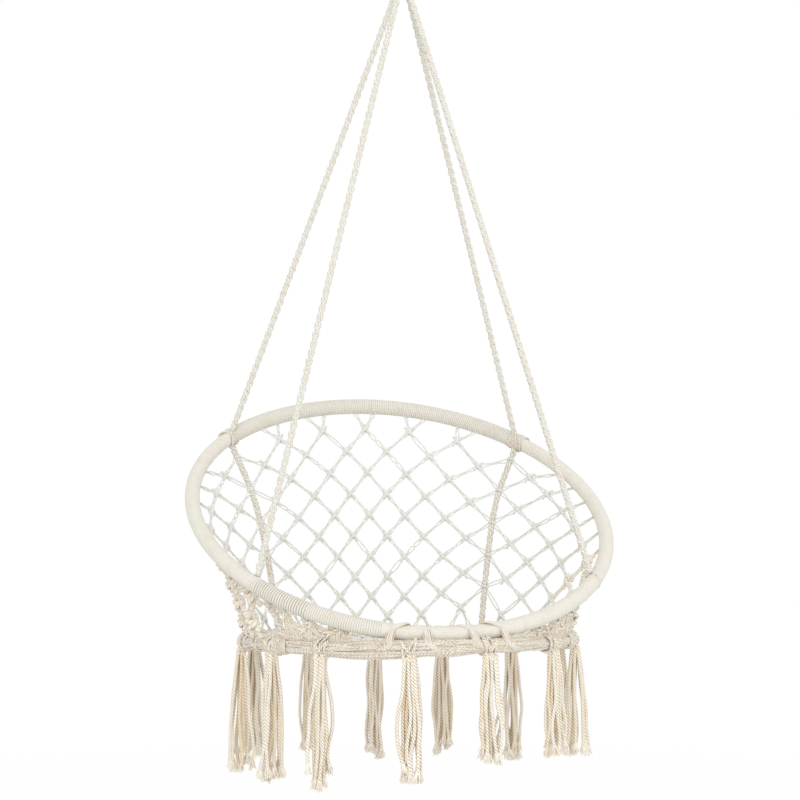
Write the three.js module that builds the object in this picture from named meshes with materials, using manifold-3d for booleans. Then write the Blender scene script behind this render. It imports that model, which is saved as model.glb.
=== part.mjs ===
// A hanging hammock chair of knotted cotton cord on two whipped steel rings.
// Millimetres, +Z up. The chair faces -Y. The origin is where a hook bears on the
// inside top of the hanging ring. Angles on a ring are degrees from its back, + towards +X.
import * as THREE from 'three';
import { mergeVertices } from 'three/addons/utils/BufferGeometryUtils.js';
import Module from 'manifold-3d';

const wasm = await Module();
wasm.setup();

// Clearance between pieces that touch, and the overrun of a cutting solid
const gap = 0.3;
const overrun = 2;

// Hanging ring and the rope crown under it
const ring_bar_radius = 4;
const ring_inner_radius = 25;
const eye_gap_to_bar = 1.2;
const eye_gap_between = 0.7;
const crown_drop = 32;
const knot_radius = 17;
const knot_seat_gap = 0.9;
const neck_radius = 19;
const neck_length = 17;
const neck_start = 12;

// Ropes and cords
const rope_radius = 6.25;
const lashing_cord_radius = 2;
const lashing_pitch = 4.9;
const hoop_lashing_turns = 4;
const seat_lashing_turns = 3;

// Upper hoop: steel tube, its whipping and its place under the crown
const hoop_radius = 387.5;
const hoop_drop = 1016;
const hoop_set_back = 17;
const hoop_tilt = 33.3;
const hoop_tube_radius = 8;
const rear_wrap_radius = 15.5;
const side_wrap_radius = 13.5;
const front_wrap_radius = 13.5;
const tube_wall = 1.5;
const butt_gap = 0.6;
const wrap_gap = 0.6;

// Seat ring, tied under the front of the hoop
const seat_radius = 292.5;
const seat_tilt = -1.5;
const seat_tube_radius = 8;
const seat_cover_radius = 12.5;
const seat_touch_angle = 45;
const seat_touch_gap = 1;

// Where the ropes meet the rings
const rear_rope_hoop_angle = 49.5;
const front_rope_hoop_angle = 128.5;
const rear_rope_seat_angle = 43.9;
const front_rope_seat_angle = 120.4;
const rope_flare_angle = 4;
const flare_share = 0.25;

// Side net: knots on the surface between the rings, columns counted from the back centre
const net_strand_width = 7.5;
const net_strand_thickness = 5;
const net_draw_in = 12;
const rope_column = 3;
const front_column = 7.5;
const last_row = 10;
const first_row_share = 0.104;
const row_step_share = 0.099;
const row_shrink_share = 0.0008;
const rope_shrink_share = 0.1;
const diagonal_step_share = 0.065;
const side_first_row_share = 0.115;
const leg_spacing_angle = 8.4;
const side_leg_lead_angle = 19.5;
const side_leg_fall_angle = 2.3;
const seat_leg_columns = 0.3;

// Front nets, low under the hoop on both sides of the front ties
const front_knot_angles = [125.5, 130.5, 135.5, 140.5, 145.5];
const front_knot_shares = [0.42, 0.66, 0.42, 0.64, 0.45];
const front_leg_spread = 3;

// Seat net
const seat_knot_spacing = 41;
const seat_net_sag = 14;
const seat_edge_margin = 21;

// Front ties, cord turns round both rings
const tie_angles = [-160.5, -172, 172, 160.5];
const tie_turns = 2;
const tie_slack = 0.2;
const tie_search_angle = 20;

// Tassels round the seat ring: places in pitches, and lengths as shares of the longest kind
const tassel_count = 13;
const tassel_length = 205;
const tassel_head_radius = 7.5;
const tassel_gap = 0.5;
const tassel_width = 25;
const tassel_flare = 22;
const tassel_hang_angle = 35;
const back_tassel_shares = [0.07, 1.125];
const left_place_shares = [0.92, 2.1, 3.1, 4.19, 4.96, 6];
const left_length_shares = [1, 0.95, 1, 1.015, 1.03, 1];
const right_place_shares = [1, 2.03, 3.03, 3.97, 4.98, 6.03];
const right_length_shares = [1.075, 1.11, 0.95, 0.9, 0.82, 0.835];

// Facets
const hoop_segments = 36;
const seat_segments = 30;
const wrap_sides = 10;
const tube_sides = 8;
const bore_sides = 6;
const rope_sides = 8;
const rope_steps_per_diameter = 0.34;
const winding_sides = 5;
const tie_half_steps = 8;
const lathe_segments = 14;
const tassel_sides = 10;

const degree = Math.PI / 180;
const up = new THREE.Vector3(0, 0, 1);

// Colours and finishes from the photograph
const cotton = new THREE.MeshStandardMaterial({ color: 0xece4d6, roughness: 0.9, metalness: 0 });
const rope_cotton = new THREE.MeshStandardMaterial({ color: 0xe9e2d2, roughness: 0.95, metalness: 0 });
const tassel_cotton = new THREE.MeshStandardMaterial({ color: 0xe6d9c4, roughness: 0.95, metalness: 0 });
const steel = new THREE.MeshStandardMaterial({ color: 0xb9bcc0, roughness: 0.35, metalness: 1 });

// A ring in space: its centre, centre-line radius, tilt about X and number of straight facets
class RingLine {
  constructor(radius, centre, tilt, segments) {
    this.radius = radius;
    this.centre = centre;
    this.tilt = tilt;
    this.facet = 360 / segments;
    this.bumps = [];
    this.back = new THREE.Vector3(0, Math.cos(tilt * degree), Math.sin(tilt * degree));
    this.axis = new THREE.Vector3(0, -Math.sin(tilt * degree), Math.cos(tilt * degree));
  }

  radial(angle) {
    const out = new THREE.Vector3(Math.sin(angle * degree), 0, 0);
    return out.addScaledVector(this.back, Math.cos(angle * degree));
  }

  tangent(angle) {
    return this.radial(angle + 90);
  }

  // Reach of the faceted centre line from the centre, full at the facet corners
  reach(angle) {
    const half = this.facet / 2;
    const inFacet = (((angle % this.facet) + this.facet) % this.facet) - half;
    return (this.radius * Math.cos(half * degree)) / Math.cos(inFacet * degree);
  }

  point(angle) {
    return this.radial(angle).multiplyScalar(this.reach(angle)).add(this.centre);
  }

  // Cords wound round the ring at an angle, kept clear of up to an outer radius
  wind(angle, width, outer) {
    this.bumps.push({ angle, half: width / 2 / this.radius / degree, outer });
  }

  // Whether a point clears the ring's cover and windings, in the ring's own frame
  ownClear(point, cover) {
    const angle = Math.atan2(point.x, point.y) / degree;
    const distance = Math.hypot(Math.hypot(point.x, point.y) - this.reach(angle), point.z);
    const near = this.bumps.filter((bump) => Math.abs(bump.angle - angle) < bump.half);
    const outer = near.reduce((most, bump) => Math.max(most, bump.outer), cover);
    return distance > outer + gap;
  }

  clear(point, cover) {
    const offset = point.clone().sub(this.centre);
    return this.ownClear(new THREE.Vector3(offset.x, offset.dot(this.back), offset.dot(this.axis)), cover);
  }

  group() {
    const frame = new THREE.Group();
    frame.position.copy(this.centre);
    frame.rotation.x = this.tilt * degree;
    return frame;
  }
}

const bar_centre_radius = ring_inner_radius + ring_bar_radius;
const bar_height = -ring_inner_radius - bar_centre_radius;
const crown = new THREE.Vector3(0, 0, bar_height - crown_drop);
const hoop_centre = new THREE.Vector3(0, hoop_set_back, crown.z - hoop_drop);
const hoop = new RingLine(hoop_radius, hoop_centre, hoop_tilt, hoop_segments);
const seat = seatLine();
noteWindings();

// The seat ring's front lies in front of and below the hoop's front
function seatLine() {
  const reach = front_wrap_radius + seat_cover_radius + seat_touch_gap;
  const front = hoop.point(180);
  front.y -= reach * Math.cos(seat_touch_angle * degree);
  front.z -= reach * Math.sin(seat_touch_angle * degree);
  const back = new RingLine(seat_radius, front, seat_tilt, seat_segments).back;
  return new RingLine(seat_radius, front.addScaledVector(back, seat_radius), seat_tilt, seat_segments);
}

// Where cords are wound round the rings, so that net bars stop short of them
function noteWindings() {
  const room = net_strand_width + 2 * lashing_cord_radius;
  [-1, 1].forEach((side) => {
    const hoopWidth = hoop_lashing_turns * lashing_pitch + room;
    const seatWidth = seat_lashing_turns * lashing_pitch + room;
    hoop.wind(side * rear_rope_hoop_angle, hoopWidth, lashingReach(rear_wrap_radius));
    hoop.wind(side * front_rope_hoop_angle, hoopWidth, lashingReach(front_wrap_radius));
    seat.wind(side * rear_rope_seat_angle, seatWidth, lashingReach(seat_cover_radius));
    seat.wind(side * front_rope_seat_angle, seatWidth, lashingReach(seat_cover_radius));
  });
  tie_angles.forEach((angle) => {
    seat.wind(angle, tie_turns * lashing_pitch + room, lashingReach(seat_cover_radius) + 2 * tie_slack);
  });
}

function solidOf(geometry) {
  const bare = geometry.clone();
  bare.deleteAttribute('normal');
  bare.deleteAttribute('uv');
  const merged = mergeVertices(bare);
  return new wasm.Manifold(new wasm.Mesh({
    numProp: 3,
    vertProperties: new Float32Array(merged.attributes.position.array),
    triVerts: new Uint32Array(merged.index.array),
  }));
}

function geometryOf(solid) {
  const mesh = solid.getMesh();
  const geometry = new THREE.BufferGeometry();
  geometry.setAttribute('position', new THREE.BufferAttribute(new Float32Array(mesh.vertProperties), 3));
  geometry.setIndex(new THREE.BufferAttribute(new Uint32Array(mesh.triVerts), 1));
  return geometry;
}

function named(name, geometry, material) {
  geometry.computeVertexNormals();
  const mesh = new THREE.Mesh(geometry, material);
  mesh.name = name;
  return mesh;
}

// The radius whose inscribed polygon clears a round of the given radius
function around(radius, sides) {
  return radius / Math.cos(Math.PI / sides);
}

function polygon(radius, sides) {
  const shape = new THREE.Shape();
  for (let i = 0; i < sides; i += 1) {
    const turn = (2 * Math.PI * i) / sides;
    const x = radius * Math.cos(turn);
    const y = radius * Math.sin(turn);
    if (i === 0) shape.moveTo(x, y);
    else shape.lineTo(x, y);
  }
  shape.closePath();
  return shape;
}

function ropeSteps(path) {
  const wanted = (path.getLength() / (2 * rope_radius)) * rope_steps_per_diameter;
  return Math.max(2, Math.round(wanted));
}

function ropeTube(path) {
  return new THREE.ExtrudeGeometry(polygon(rope_radius, rope_sides), {
    steps: ropeSteps(path), extrudePath: path, bevelEnabled: false,
  });
}

// A torus lying in its own XY plane, its facet corners at the back and every segment round
function torus(ringRadius, radius, sides, segments) {
  const profile = [];
  for (let i = 0; i <= sides; i += 1) {
    const turn = (2 * Math.PI * (i % sides)) / sides;
    profile.push(new THREE.Vector2(ringRadius + radius * Math.cos(turn), radius * Math.sin(turn)));
  }
  const geometry = new THREE.LatheGeometry(profile, segments);
  geometry.rotateX(Math.PI / 2);
  return solidOf(geometry);
}

// A pie-shaped block that holds the part of a ring between two angles
function sector(from, to, ringRadius, depth) {
  const reach = 2 * ringRadius;
  const middle = (from + to) / 2;
  const corner = (angle) => new THREE.Vector2(reach * Math.sin(angle * degree), reach * Math.cos(angle * degree));
  const shape = new THREE.Shape([new THREE.Vector2(0, 0), corner(from), corner((from + middle) / 2),
    corner(middle), corner((middle + to) / 2), corner(to)]);
  const block = new THREE.ExtrudeGeometry(shape, { depth: 2 * depth, bevelEnabled: false });
  block.translate(0, 0, -depth);
  return solidOf(block);
}

// A bent steel tube whose ends meet at the front with a narrow butt gap
function ringTube(line, radius, segments) {
  const outer = torus(line.radius, radius, tube_sides, segments);
  const bore = torus(line.radius, radius - tube_wall, bore_sides, segments);
  const slot = new THREE.BoxGeometry(butt_gap, 2 * line.radius, 2 * radius + overrun);
  slot.translate(0, -line.radius, 0);
  return geometryOf(outer.subtract(bore).subtract(solidOf(slot)));
}

// A sleeve of whipping round a ring's tube, from one angle to another
function sleeve(line, tubeRadius, radius, segments, from, to) {
  const outer = torus(line.radius, radius, wrap_sides, segments);
  const bore = torus(line.radius, around(tubeRadius + gap, tube_sides), tube_sides, segments);
  const trim = wrap_gap / line.radius / degree / 2;
  const part = sector(from + trim, to - trim, line.radius, radius + overrun);
  return geometryOf(outer.subtract(bore).intersect(part));
}

// A round cord through given points, closed at both ends, one corner facing along each normal
function cordThrough(points, normals, radius, sides) {
  const positions = [];
  const index = [];
  points.forEach((point, i) => {
    const before = points[Math.max(i - 1, 0)];
    const after = points[Math.min(i + 1, points.length - 1)];
    const along = after.clone().sub(before).normalize();
    const normal = normals[i].clone().addScaledVector(along, -normals[i].dot(along)).normalize();
    const side = along.clone().cross(normal);
    for (let k = 0; k < sides; k += 1) {
      const turn = (2 * Math.PI * k) / sides;
      const corner = point.clone().addScaledVector(normal, radius * Math.cos(turn));
      corner.addScaledVector(side, radius * Math.sin(turn));
      positions.push(corner.x, corner.y, corner.z);
    }
  });
  for (let i = 0; i + 1 < points.length; i += 1) {
    for (let k = 0; k < sides; k += 1) {
      const a = i * sides + k;
      const b = i * sides + ((k + 1) % sides);
      index.push(a, b, b + sides, a, b + sides, a + sides);
    }
  }
  const last = (points.length - 1) * sides;
  for (let k = 1; k + 1 < sides; k += 1) {
    index.push(0, k + 1, k);
    index.push(last, last + k, last + k + 1);
  }
  const geometry = new THREE.BufferGeometry();
  geometry.setAttribute('position', new THREE.Float32BufferAttribute(positions, 3));
  geometry.setIndex(index);
  return geometry;
}

// The least gap between the turns of a winding, measured on its points
function turnGap(points, radius, steps) {
  let least = Infinity;
  for (let i = 0; i < points.length; i += 1) {
    for (let j = i + Math.floor(steps / 2); j < points.length; j += 1) {
      least = Math.min(least, points[i].distanceTo(points[j]) - 2 * radius);
    }
  }
  return least;
}

function winding(name, points, normals, steps) {
  const least = turnGap(points, lashing_cord_radius, steps);
  console.log(`${name}: least gap between turns ${least.toFixed(2)} mm`);
  return named(name, cordThrough(points, normals, lashing_cord_radius, winding_sides), cotton);
}

// Radius of a winding's corners where its facets lie along those of the cover under it
function windingReach(coverRadius) {
  return coverRadius + around(gap + lashing_cord_radius, wrap_sides);
}

// Outer radius of such a winding, whose cords turn a corner inwards and a flat outwards
function lashingReach(coverRadius) {
  const flat = lashing_cord_radius * Math.cos(Math.PI / winding_sides);
  return windingReach(coverRadius) + around(flat, wrap_sides);
}

// Cord turns round a ring's cover, in world places
function ringLashing(name, line, coverRadius, angle, turns) {
  const reach = windingReach(coverRadius);
  const width = turns * lashing_pitch;
  const points = [];
  const normals = [];
  for (let i = 0; i <= turns * wrap_sides; i += 1) {
    const turn = i / wrap_sides;
    const place = angle + (turn * lashing_pitch - width / 2) / line.radius / degree;
    const wound = 2 * Math.PI * turn;
    const out = line.radial(place).multiplyScalar(Math.cos(wound));
    out.addScaledVector(line.axis, Math.sin(wound));
    points.push(line.point(place).addScaledVector(out, reach));
    normals.push(out.negate());
  }
  return winding(name, points, normals, wrap_sides);
}

// A solid round a ring that a rope's end is cut back by, so that it seats on the lashing
function seatCutter(line, coverRadius, segments) {
  const reach = lashingReach(coverRadius) + around(gap, wrap_sides);
  const cutter = torus(line.radius, reach, wrap_sides, segments);
  const matrix = new THREE.Matrix4().makeRotationX(line.tilt * degree);
  matrix.setPosition(line.centre);
  const geometry = geometryOf(cutter);
  geometry.applyMatrix4(matrix);
  return solidOf(geometry);
}

// The net's surface: from the hoop to the seat ring, drawn in at half height
function hoopAngle(angle) {
  const size = Math.abs(angle);
  const side = Math.sign(angle);
  const rearTop = rear_rope_seat_angle + rope_flare_angle;
  if (size <= rearTop) return (angle * rear_rope_hoop_angle) / rearTop;
  if (size <= front_rope_seat_angle) {
    const share = (size - rearTop) / (front_rope_seat_angle - rearTop);
    return side * (rear_rope_hoop_angle + share * (front_rope_hoop_angle - rear_rope_hoop_angle));
  }
  const share = (size - front_rope_seat_angle) / (180 - front_rope_seat_angle);
  return side * (front_rope_hoop_angle + share * (180 - front_rope_hoop_angle));
}

function netSurface(angle, share) {
  const point = hoop.point(hoopAngle(angle)).multiplyScalar(1 - share);
  point.addScaledVector(seat.point(angle), share);
  const draw = net_draw_in * 4 * share * (1 - share);
  point.x -= draw * Math.sin(angle * degree);
  point.y -= draw * Math.cos(angle * degree);
  return point;
}

// Angle of a net column, wider near the hoop
function columnAngle(column, share) {
  const size = Math.abs(column);
  const flare = rope_flare_angle * Math.exp(-((share / flare_share) ** 2));
  const inner = Math.min(size, rope_column) / rope_column;
  const cube = rear_rope_seat_angle * (0.84 * inner + 0.16 * inner ** 3);
  const outer = Math.max(size - rope_column, 0) / (front_column - rope_column);
  const beyond = outer * (front_rope_seat_angle - rear_rope_seat_angle);
  return Math.sign(column) * (cube + beyond + flare * inner * (1 - outer));
}

function diagonalRow(column) {
  return 1 + 2 * Math.max(Math.abs(column) - rope_column, 0);
}

// Height share of a knot row in a column, 0 at the hoop and 1 at the seat ring
function rowShare(column, row) {
  const size = Math.abs(column);
  if (size <= rope_column) {
    const fall = (row - 1) * row_step_share - (row - 1) ** 2 * row_shrink_share;
    return first_row_share + fall * (1 - rope_shrink_share * (size / rope_column) ** 3);
  }
  const first = side_first_row_share + (size - rope_column) * diagonal_step_share;
  const top = diagonalRow(column);
  return first + ((row - top) * (1 - first)) / (last_row + 1 - top);
}

function columnPoint(column, share) {
  return netSurface(columnAngle(column, share), share);
}

// A net as bars between small square knots, closed by construction
class Lattice {
  constructor(width, thickness) {
    this.half = width / Math.SQRT2;
    this.depth = thickness / 2;
    this.positions = [];
    this.index = [];
    this.knots = new Map();
  }

  vertex(point) {
    this.positions.push(point.x, point.y, point.z);
    return this.positions.length / 3 - 1;
  }

  knot(key, place, upward, sideways) {
    const face = sideways.clone().cross(upward).normalize();
    const tall = upward.clone().normalize();
    const wide = tall.clone().cross(face);
    const directions = [tall, wide, tall.clone().negate(), wide.clone().negate()];
    const corners = directions.map((direction) => {
      const corner = place.clone().addScaledVector(direction, this.half);
      const near = this.vertex(corner.clone().addScaledVector(face, this.depth));
      const far = this.vertex(corner.clone().addScaledVector(face, -this.depth));
      return { corner, near, far };
    });
    this.knots.set(key, { place, face, corners, open: [true, true, true, true] });
    const [top, right, bottom, left] = corners;
    this.quad(top.near, left.near, bottom.near, right.near);
    this.quad(top.far, right.far, bottom.far, left.far);
  }

  quad(a, b, c, d) {
    this.index.push(a, b, c, a, c, d);
  }

  // The four corners of a knot's side: 0 up right, 1 down right, 2 down left, 3 up left
  port(key, side) {
    const knot = this.knots.get(key);
    const first = knot.corners[side];
    const second = knot.corners[(side + 1) % 4];
    knot.open[side] = false;
    return [first.near, second.near, second.far, first.far];
  }

  bar(ring, end) {
    for (let i = 0; i < 4; i += 1) {
      const j = (i + 1) % 4;
      this.quad(ring[i], ring[j], end[j], end[i]);
    }
  }

  join(key, side, other) {
    const ring = this.port(key, side);
    const far = this.port(other, (side + 2) % 4);
    this.bar(ring, [far[1], far[0], far[3], far[2]]);
  }

  // A bar that stops where all its end corners clear what it is tied to
  tie(key, side, target, clear) {
    const knot = this.knots.get(key);
    const first = knot.corners[side].corner;
    const second = knot.corners[(side + 1) % 4].corner;
    const start = first.clone().add(second).multiplyScalar(0.5);
    const across = second.clone().sub(first).multiplyScalar(0.5);
    const cornersAt = (share) => {
      const middle = start.clone().lerp(target, share);
      return [[-1, 1], [1, 1], [1, -1], [-1, -1]].map(([a, b]) => middle.clone()
        .addScaledVector(across, a).addScaledVector(knot.face, b * this.depth));
    };
    let low = 0;
    let high = 1;
    for (let i = 0; i < 30; i += 1) {
      const middle = (low + high) / 2;
      if (cornersAt(middle).every(clear)) low = middle;
      else high = middle;
    }
    const end = cornersAt(low).map((corner) => this.vertex(corner));
    this.bar(this.port(key, side), end);
    this.quad(end[0], end[1], end[2], end[3]);
  }

  geometry() {
    this.knots.forEach((knot, key) => {
      knot.open.forEach((open, side) => {
        if (open) this.quad(...this.port(key, side));
      });
    });
    const geometry = new THREE.BufferGeometry();
    geometry.setAttribute('position', new THREE.Float32BufferAttribute(this.positions, 3));
    geometry.setIndex(this.index);
    return geometry;
  }
}

function knotFrame(angle, share) {
  const small = 0.01;
  const upward = netSurface(angle, share - small).sub(netSurface(angle, share + small));
  const sideways = netSurface(angle + small, share).sub(netSurface(angle - small, share));
  return { place: netSurface(angle, share), upward, sideways };
}

function addNetKnot(lattice, key, angle, share) {
  const { place, upward, sideways } = knotFrame(angle, share);
  lattice.knot(key, place, upward, sideways);
}

const net_sides = [[1, -1], [1, 1], [-1, 1], [-1, -1]];

function clearOfHoop(point) {
  return hoop.clear(point, rear_wrap_radius);
}

function clearOfSeat(point) {
  return seat.clear(point, seat_cover_radius);
}

function clearOfRope(curve) {
  const stops = curve.getSpacedPoints(ropeSteps(curve));
  const runs = stops.slice(1).map((stop, i) => new THREE.Line3(stops[i], stop));
  const nearest = new THREE.Vector3();
  return (point) => runs.every((run) => {
    run.closestPointToPoint(point, true, nearest);
    return nearest.distanceTo(point) > rope_radius + gap;
  });
}

function legAngle(column, across) {
  const size = Math.abs(column);
  if (size < rope_column) return 2 * leg_spacing_angle * column + (across * leg_spacing_angle) / 2;
  const lead = side_leg_lead_angle - side_leg_fall_angle * (size - rope_column);
  return Math.sign(column) * (Math.abs(columnAngle(column, 1)) + lead);
}

// What a bar is tied to when the next knot of its row isn't there
function tieNetBar(lattice, key, side, column, row) {
  const [across, down] = net_sides[side];
  const next = column + across / 2;
  const nextRow = row + down;
  const size = Math.abs(next);
  if (nextRow > last_row) {
    const landing = column + across * seat_leg_columns;
    lattice.tie(key, side, seat.point(columnAngle(landing, 1)), clearOfSeat);
  } else if ((size === rope_column || size === front_column) && nextRow >= diagonalRow(next)) {
    const target = columnPoint(next, rowShare(next, nextRow));
    lattice.tie(key, side, target, clearOfRope(lowerRopeCurve(next)));
  } else {
    lattice.tie(key, side, hoop.point(legAngle(column, across)), clearOfHoop);
  }
}

function netPanel(name, columns) {
  const lattice = new Lattice(net_strand_width, net_strand_thickness);
  const keyOf = (column, row) => `${2 * column}/${row}`;
  const places = [];
  for (const column of columns) {
    for (let row = diagonalRow(column); row <= last_row; row += 1) {
      if ((2 * column + row) % 2 !== 0) places.push([column, row]);
    }
  }
  places.forEach(([column, row]) => {
    const share = rowShare(column, row);
    addNetKnot(lattice, keyOf(column, row), columnAngle(column, share), share);
  });
  places.forEach(([column, row]) => {
    net_sides.forEach(([across, down], side) => {
      const other = keyOf(column + across / 2, row + down);
      if (!lattice.knots.has(other)) tieNetBar(lattice, keyOf(column, row), side, column, row);
      else if (down > 0) lattice.join(keyOf(column, row), side, other);
    });
  });
  return named(name, lattice.geometry(), cotton);
}

// A low net of two rows between the front rope and the front ties
function frontNet(name, mirror) {
  const lattice = new Lattice(net_strand_width, net_strand_thickness);
  front_knot_angles.forEach((angle, i) => {
    addNetKnot(lattice, i, mirror * angle, front_knot_shares[i]);
  });
  const rightward = mirror > 0 ? 0 : 3;
  const leftward = 3 - rightward;
  const lowRight = mirror > 0 ? 1 : 2;
  const lowLeft = 3 - lowRight;
  front_knot_angles.forEach((angle, i) => {
    const ahead = mirror * (angle + front_leg_spread);
    const behind = mirror * (angle - front_leg_spread);
    if (i % 2 === 0) {
      lattice.tie(i, rightward, hoop.point(hoopAngle(ahead)), clearOfHoop);
      lattice.tie(i, leftward, hoop.point(hoopAngle(behind)), clearOfHoop);
      if (i + 1 < front_knot_angles.length) lattice.join(i, lowRight, i + 1);
    } else {
      lattice.tie(i, lowRight, seat.point(ahead), clearOfSeat);
      lattice.tie(i, lowLeft, seat.point(behind), clearOfSeat);
      if (i + 1 < front_knot_angles.length) lattice.join(i, rightward, i + 1);
    }
  });
  return named(name, lattice.geometry(), cotton);
}

// The seat net, in the seat ring's own frame
function seatNet() {
  const lattice = new Lattice(net_strand_width, net_strand_thickness);
  const inside = seat.radius - seat_cover_radius;
  const reach = Math.ceil(inside / seat_knot_spacing);
  const dip = (flat) => -seat_net_sag * (1 - (flat / inside) ** 2);
  const keyOf = (i, j) => `${i}/${j}`;
  const places = [];
  for (let i = -reach; i <= reach; i += 1) {
    for (let j = -reach; j <= reach; j += 1) {
      const flat = Math.hypot(i, j) * seat_knot_spacing;
      if ((i + j) % 2 === 0 && flat < inside - seat_edge_margin) places.push([i, j, flat]);
    }
  }
  const across = new THREE.Vector3(1, 0, 0);
  const tall = new THREE.Vector3(0, 1, 0);
  places.forEach(([i, j, flat]) => {
    const place = new THREE.Vector3(i * seat_knot_spacing, j * seat_knot_spacing, dip(flat));
    lattice.knot(keyOf(i, j), place, tall, across);
  });
  const clear = (point) => seat.ownClear(point, seat_cover_radius);
  const steps = [[1, 1], [1, -1], [-1, -1], [-1, 1]];
  places.forEach(([i, j]) => {
    steps.forEach(([a, b], side) => {
      const other = keyOf(i + a, j + b);
      if (!lattice.knots.has(other)) {
        const place = lattice.knots.get(keyOf(i, j)).place;
        const far = new THREE.Vector3((i + a * reach) * seat_knot_spacing, (j + b * reach) * seat_knot_spacing, 0);
        const target = place.clone().lerp(far, ringShare(place, far));
        lattice.tie(keyOf(i, j), side, target, clear);
      } else if (b < 0) lattice.join(keyOf(i, j), side, other);
    });
  });
  return named('seat_net', lattice.geometry(), cotton);
}

// How far along a straight line from inside the seat ring its centre line is crossed
function ringShare(from, to) {
  let low = 0;
  let high = 1;
  for (let i = 0; i < 30; i += 1) {
    const middle = (low + high) / 2;
    const point = from.clone().lerp(to, middle);
    if (Math.hypot(point.x, point.y) < seat.radius) low = middle;
    else high = middle;
  }
  return low;
}

// The lower ropes follow the net's columns from the hoop to the seat ring
function lowerRopeCurve(column) {
  const stops = [0, 0.12, 0.3, 0.5, 0.7, 0.88, 1];
  return new THREE.CatmullRomCurve3(stops.map((share) => columnPoint(column, share)));
}

function lowerRope(name, column, hoopCover) {
  const curve = lowerRopeCurve(column);
  const rope = solidOf(ropeTube(curve));
  const hoopCut = seatCutter(hoop, hoopCover, hoop_segments);
  const seatCut = seatCutter(seat, seat_cover_radius, seat_segments);
  return named(name, geometryOf(rope.subtract(hoopCut).subtract(seatCut)), rope_cotton);
}

// An upper rope runs straight from under the crown's neck to the lashing on the hoop
function upperRope(name, angle, hoopCover) {
  const foot = hoop.point(angle);
  const run = foot.clone().sub(crown);
  const drop = neck_start + neck_length - rope_radius;
  const head = crown.clone().addScaledVector(run, drop / -run.z);
  const rope = solidOf(ropeTube(new THREE.LineCurve3(head, foot)));
  const block = new THREE.BoxGeometry(6 * neck_radius, 6 * neck_radius, 2 * neck_length);
  block.translate(0, 0, crown.z - neck_start - gap);
  const cuts = solidOf(block).add(seatCutter(hoop, hoopCover, hoop_segments));
  return named(name, geometryOf(rope.subtract(cuts)), rope_cotton);
}

function hangingRing() {
  const geometry = geometryOf(torus(bar_centre_radius, ring_bar_radius, tube_sides, 2 * lathe_segments));
  geometry.rotateX(Math.PI / 2);
  geometry.translate(0, 0, -ring_inner_radius);
  return named('hang_ring', geometry, steel);
}

// A rope bight over the ring's bottom bar, its two legs seated on the crown knot
function ropeEye(name, side) {
  const reach = ring_bar_radius + eye_gap_to_bar + rope_radius;
  const x = side * (rope_radius + eye_gap_between / 2);
  const close = rope_radius + eye_gap_between / 2;
  const stops = [[close, -crown_drop / 2], [reach, -crown_drop / 5]];
  for (let turn = 0; turn <= 180; turn += 30) {
    stops.push([reach * Math.cos(turn * degree), reach * Math.sin(turn * degree)]);
  }
  stops.push([-reach, -crown_drop / 5], [-close, -crown_drop / 2]);
  const points = stops.map(([y, z]) => new THREE.Vector3(x, y, bar_height + z));
  const bottom = crown.z + knot_radius / 2;
  points.unshift(new THREE.Vector3(x, close, bottom));
  points.push(new THREE.Vector3(x, -close, bottom));
  const bight = new THREE.ExtrudeGeometry(polygon(rope_radius, rope_sides), {
    steps: 16, extrudePath: new THREE.CatmullRomCurve3(points), bevelEnabled: false,
  });
  const ball = new THREE.SphereGeometry(knot_radius + knot_seat_gap, lathe_segments + 4, lathe_segments);
  ball.translate(0, 0, crown.z);
  return named(name, geometryOf(solidOf(bight).subtract(solidOf(ball))), rope_cotton);
}

// The crown knot: a round wall knot with a neck that holds the four rope tops
function crownKnot() {
  const profile = [new THREE.Vector2(0, -neck_start - neck_length), new THREE.Vector2(neck_radius, -neck_start - neck_length),
    new THREE.Vector2(neck_radius, -neck_start)];
  for (let turn = -25; turn < 90; turn += 23) {
    profile.push(new THREE.Vector2(knot_radius * Math.cos(turn * degree), knot_radius * Math.sin(turn * degree)));
  }
  profile.push(new THREE.Vector2(0, knot_radius));
  const geometry = new THREE.LatheGeometry(profile, wrap_sides);
  geometry.rotateX(Math.PI / 2);
  geometry.translate(0, 0, crown.z);
  return named('crown_knot', geometry, rope_cotton);
}

function crownSeizing() {
  const reach = windingReach(neck_radius);
  const turns = Math.floor((neck_length - 2 * lashing_cord_radius) / lashing_pitch);
  const start = crown.z - neck_start - (neck_length - turns * lashing_pitch) / 2;
  const points = [];
  const normals = [];
  for (let i = 0; i <= turns * wrap_sides; i += 1) {
    const turn = (2 * Math.PI * i) / wrap_sides;
    const out = new THREE.Vector3(Math.sin(turn), -Math.cos(turn), 0);
    const height = start - (i / wrap_sides) * lashing_pitch;
    points.push(out.clone().multiplyScalar(reach).setZ(height));
    normals.push(out.negate());
  }
  return winding('crown_seizing', points, normals, wrap_sides);
}

// Where a ring crosses the plane through a place, square to a direction, near a given angle
function crossing(line, place, along, angle) {
  const turn = Math.sign(line.tangent(angle).dot(along));
  let near = angle - tie_search_angle;
  let far = angle + tie_search_angle;
  for (let i = 0; i < 30; i += 1) {
    const middle = (near + far) / 2;
    if (line.point(middle).sub(place).dot(along) * turn < 0) near = middle;
    else far = middle;
  }
  return line.point(near);
}

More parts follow.
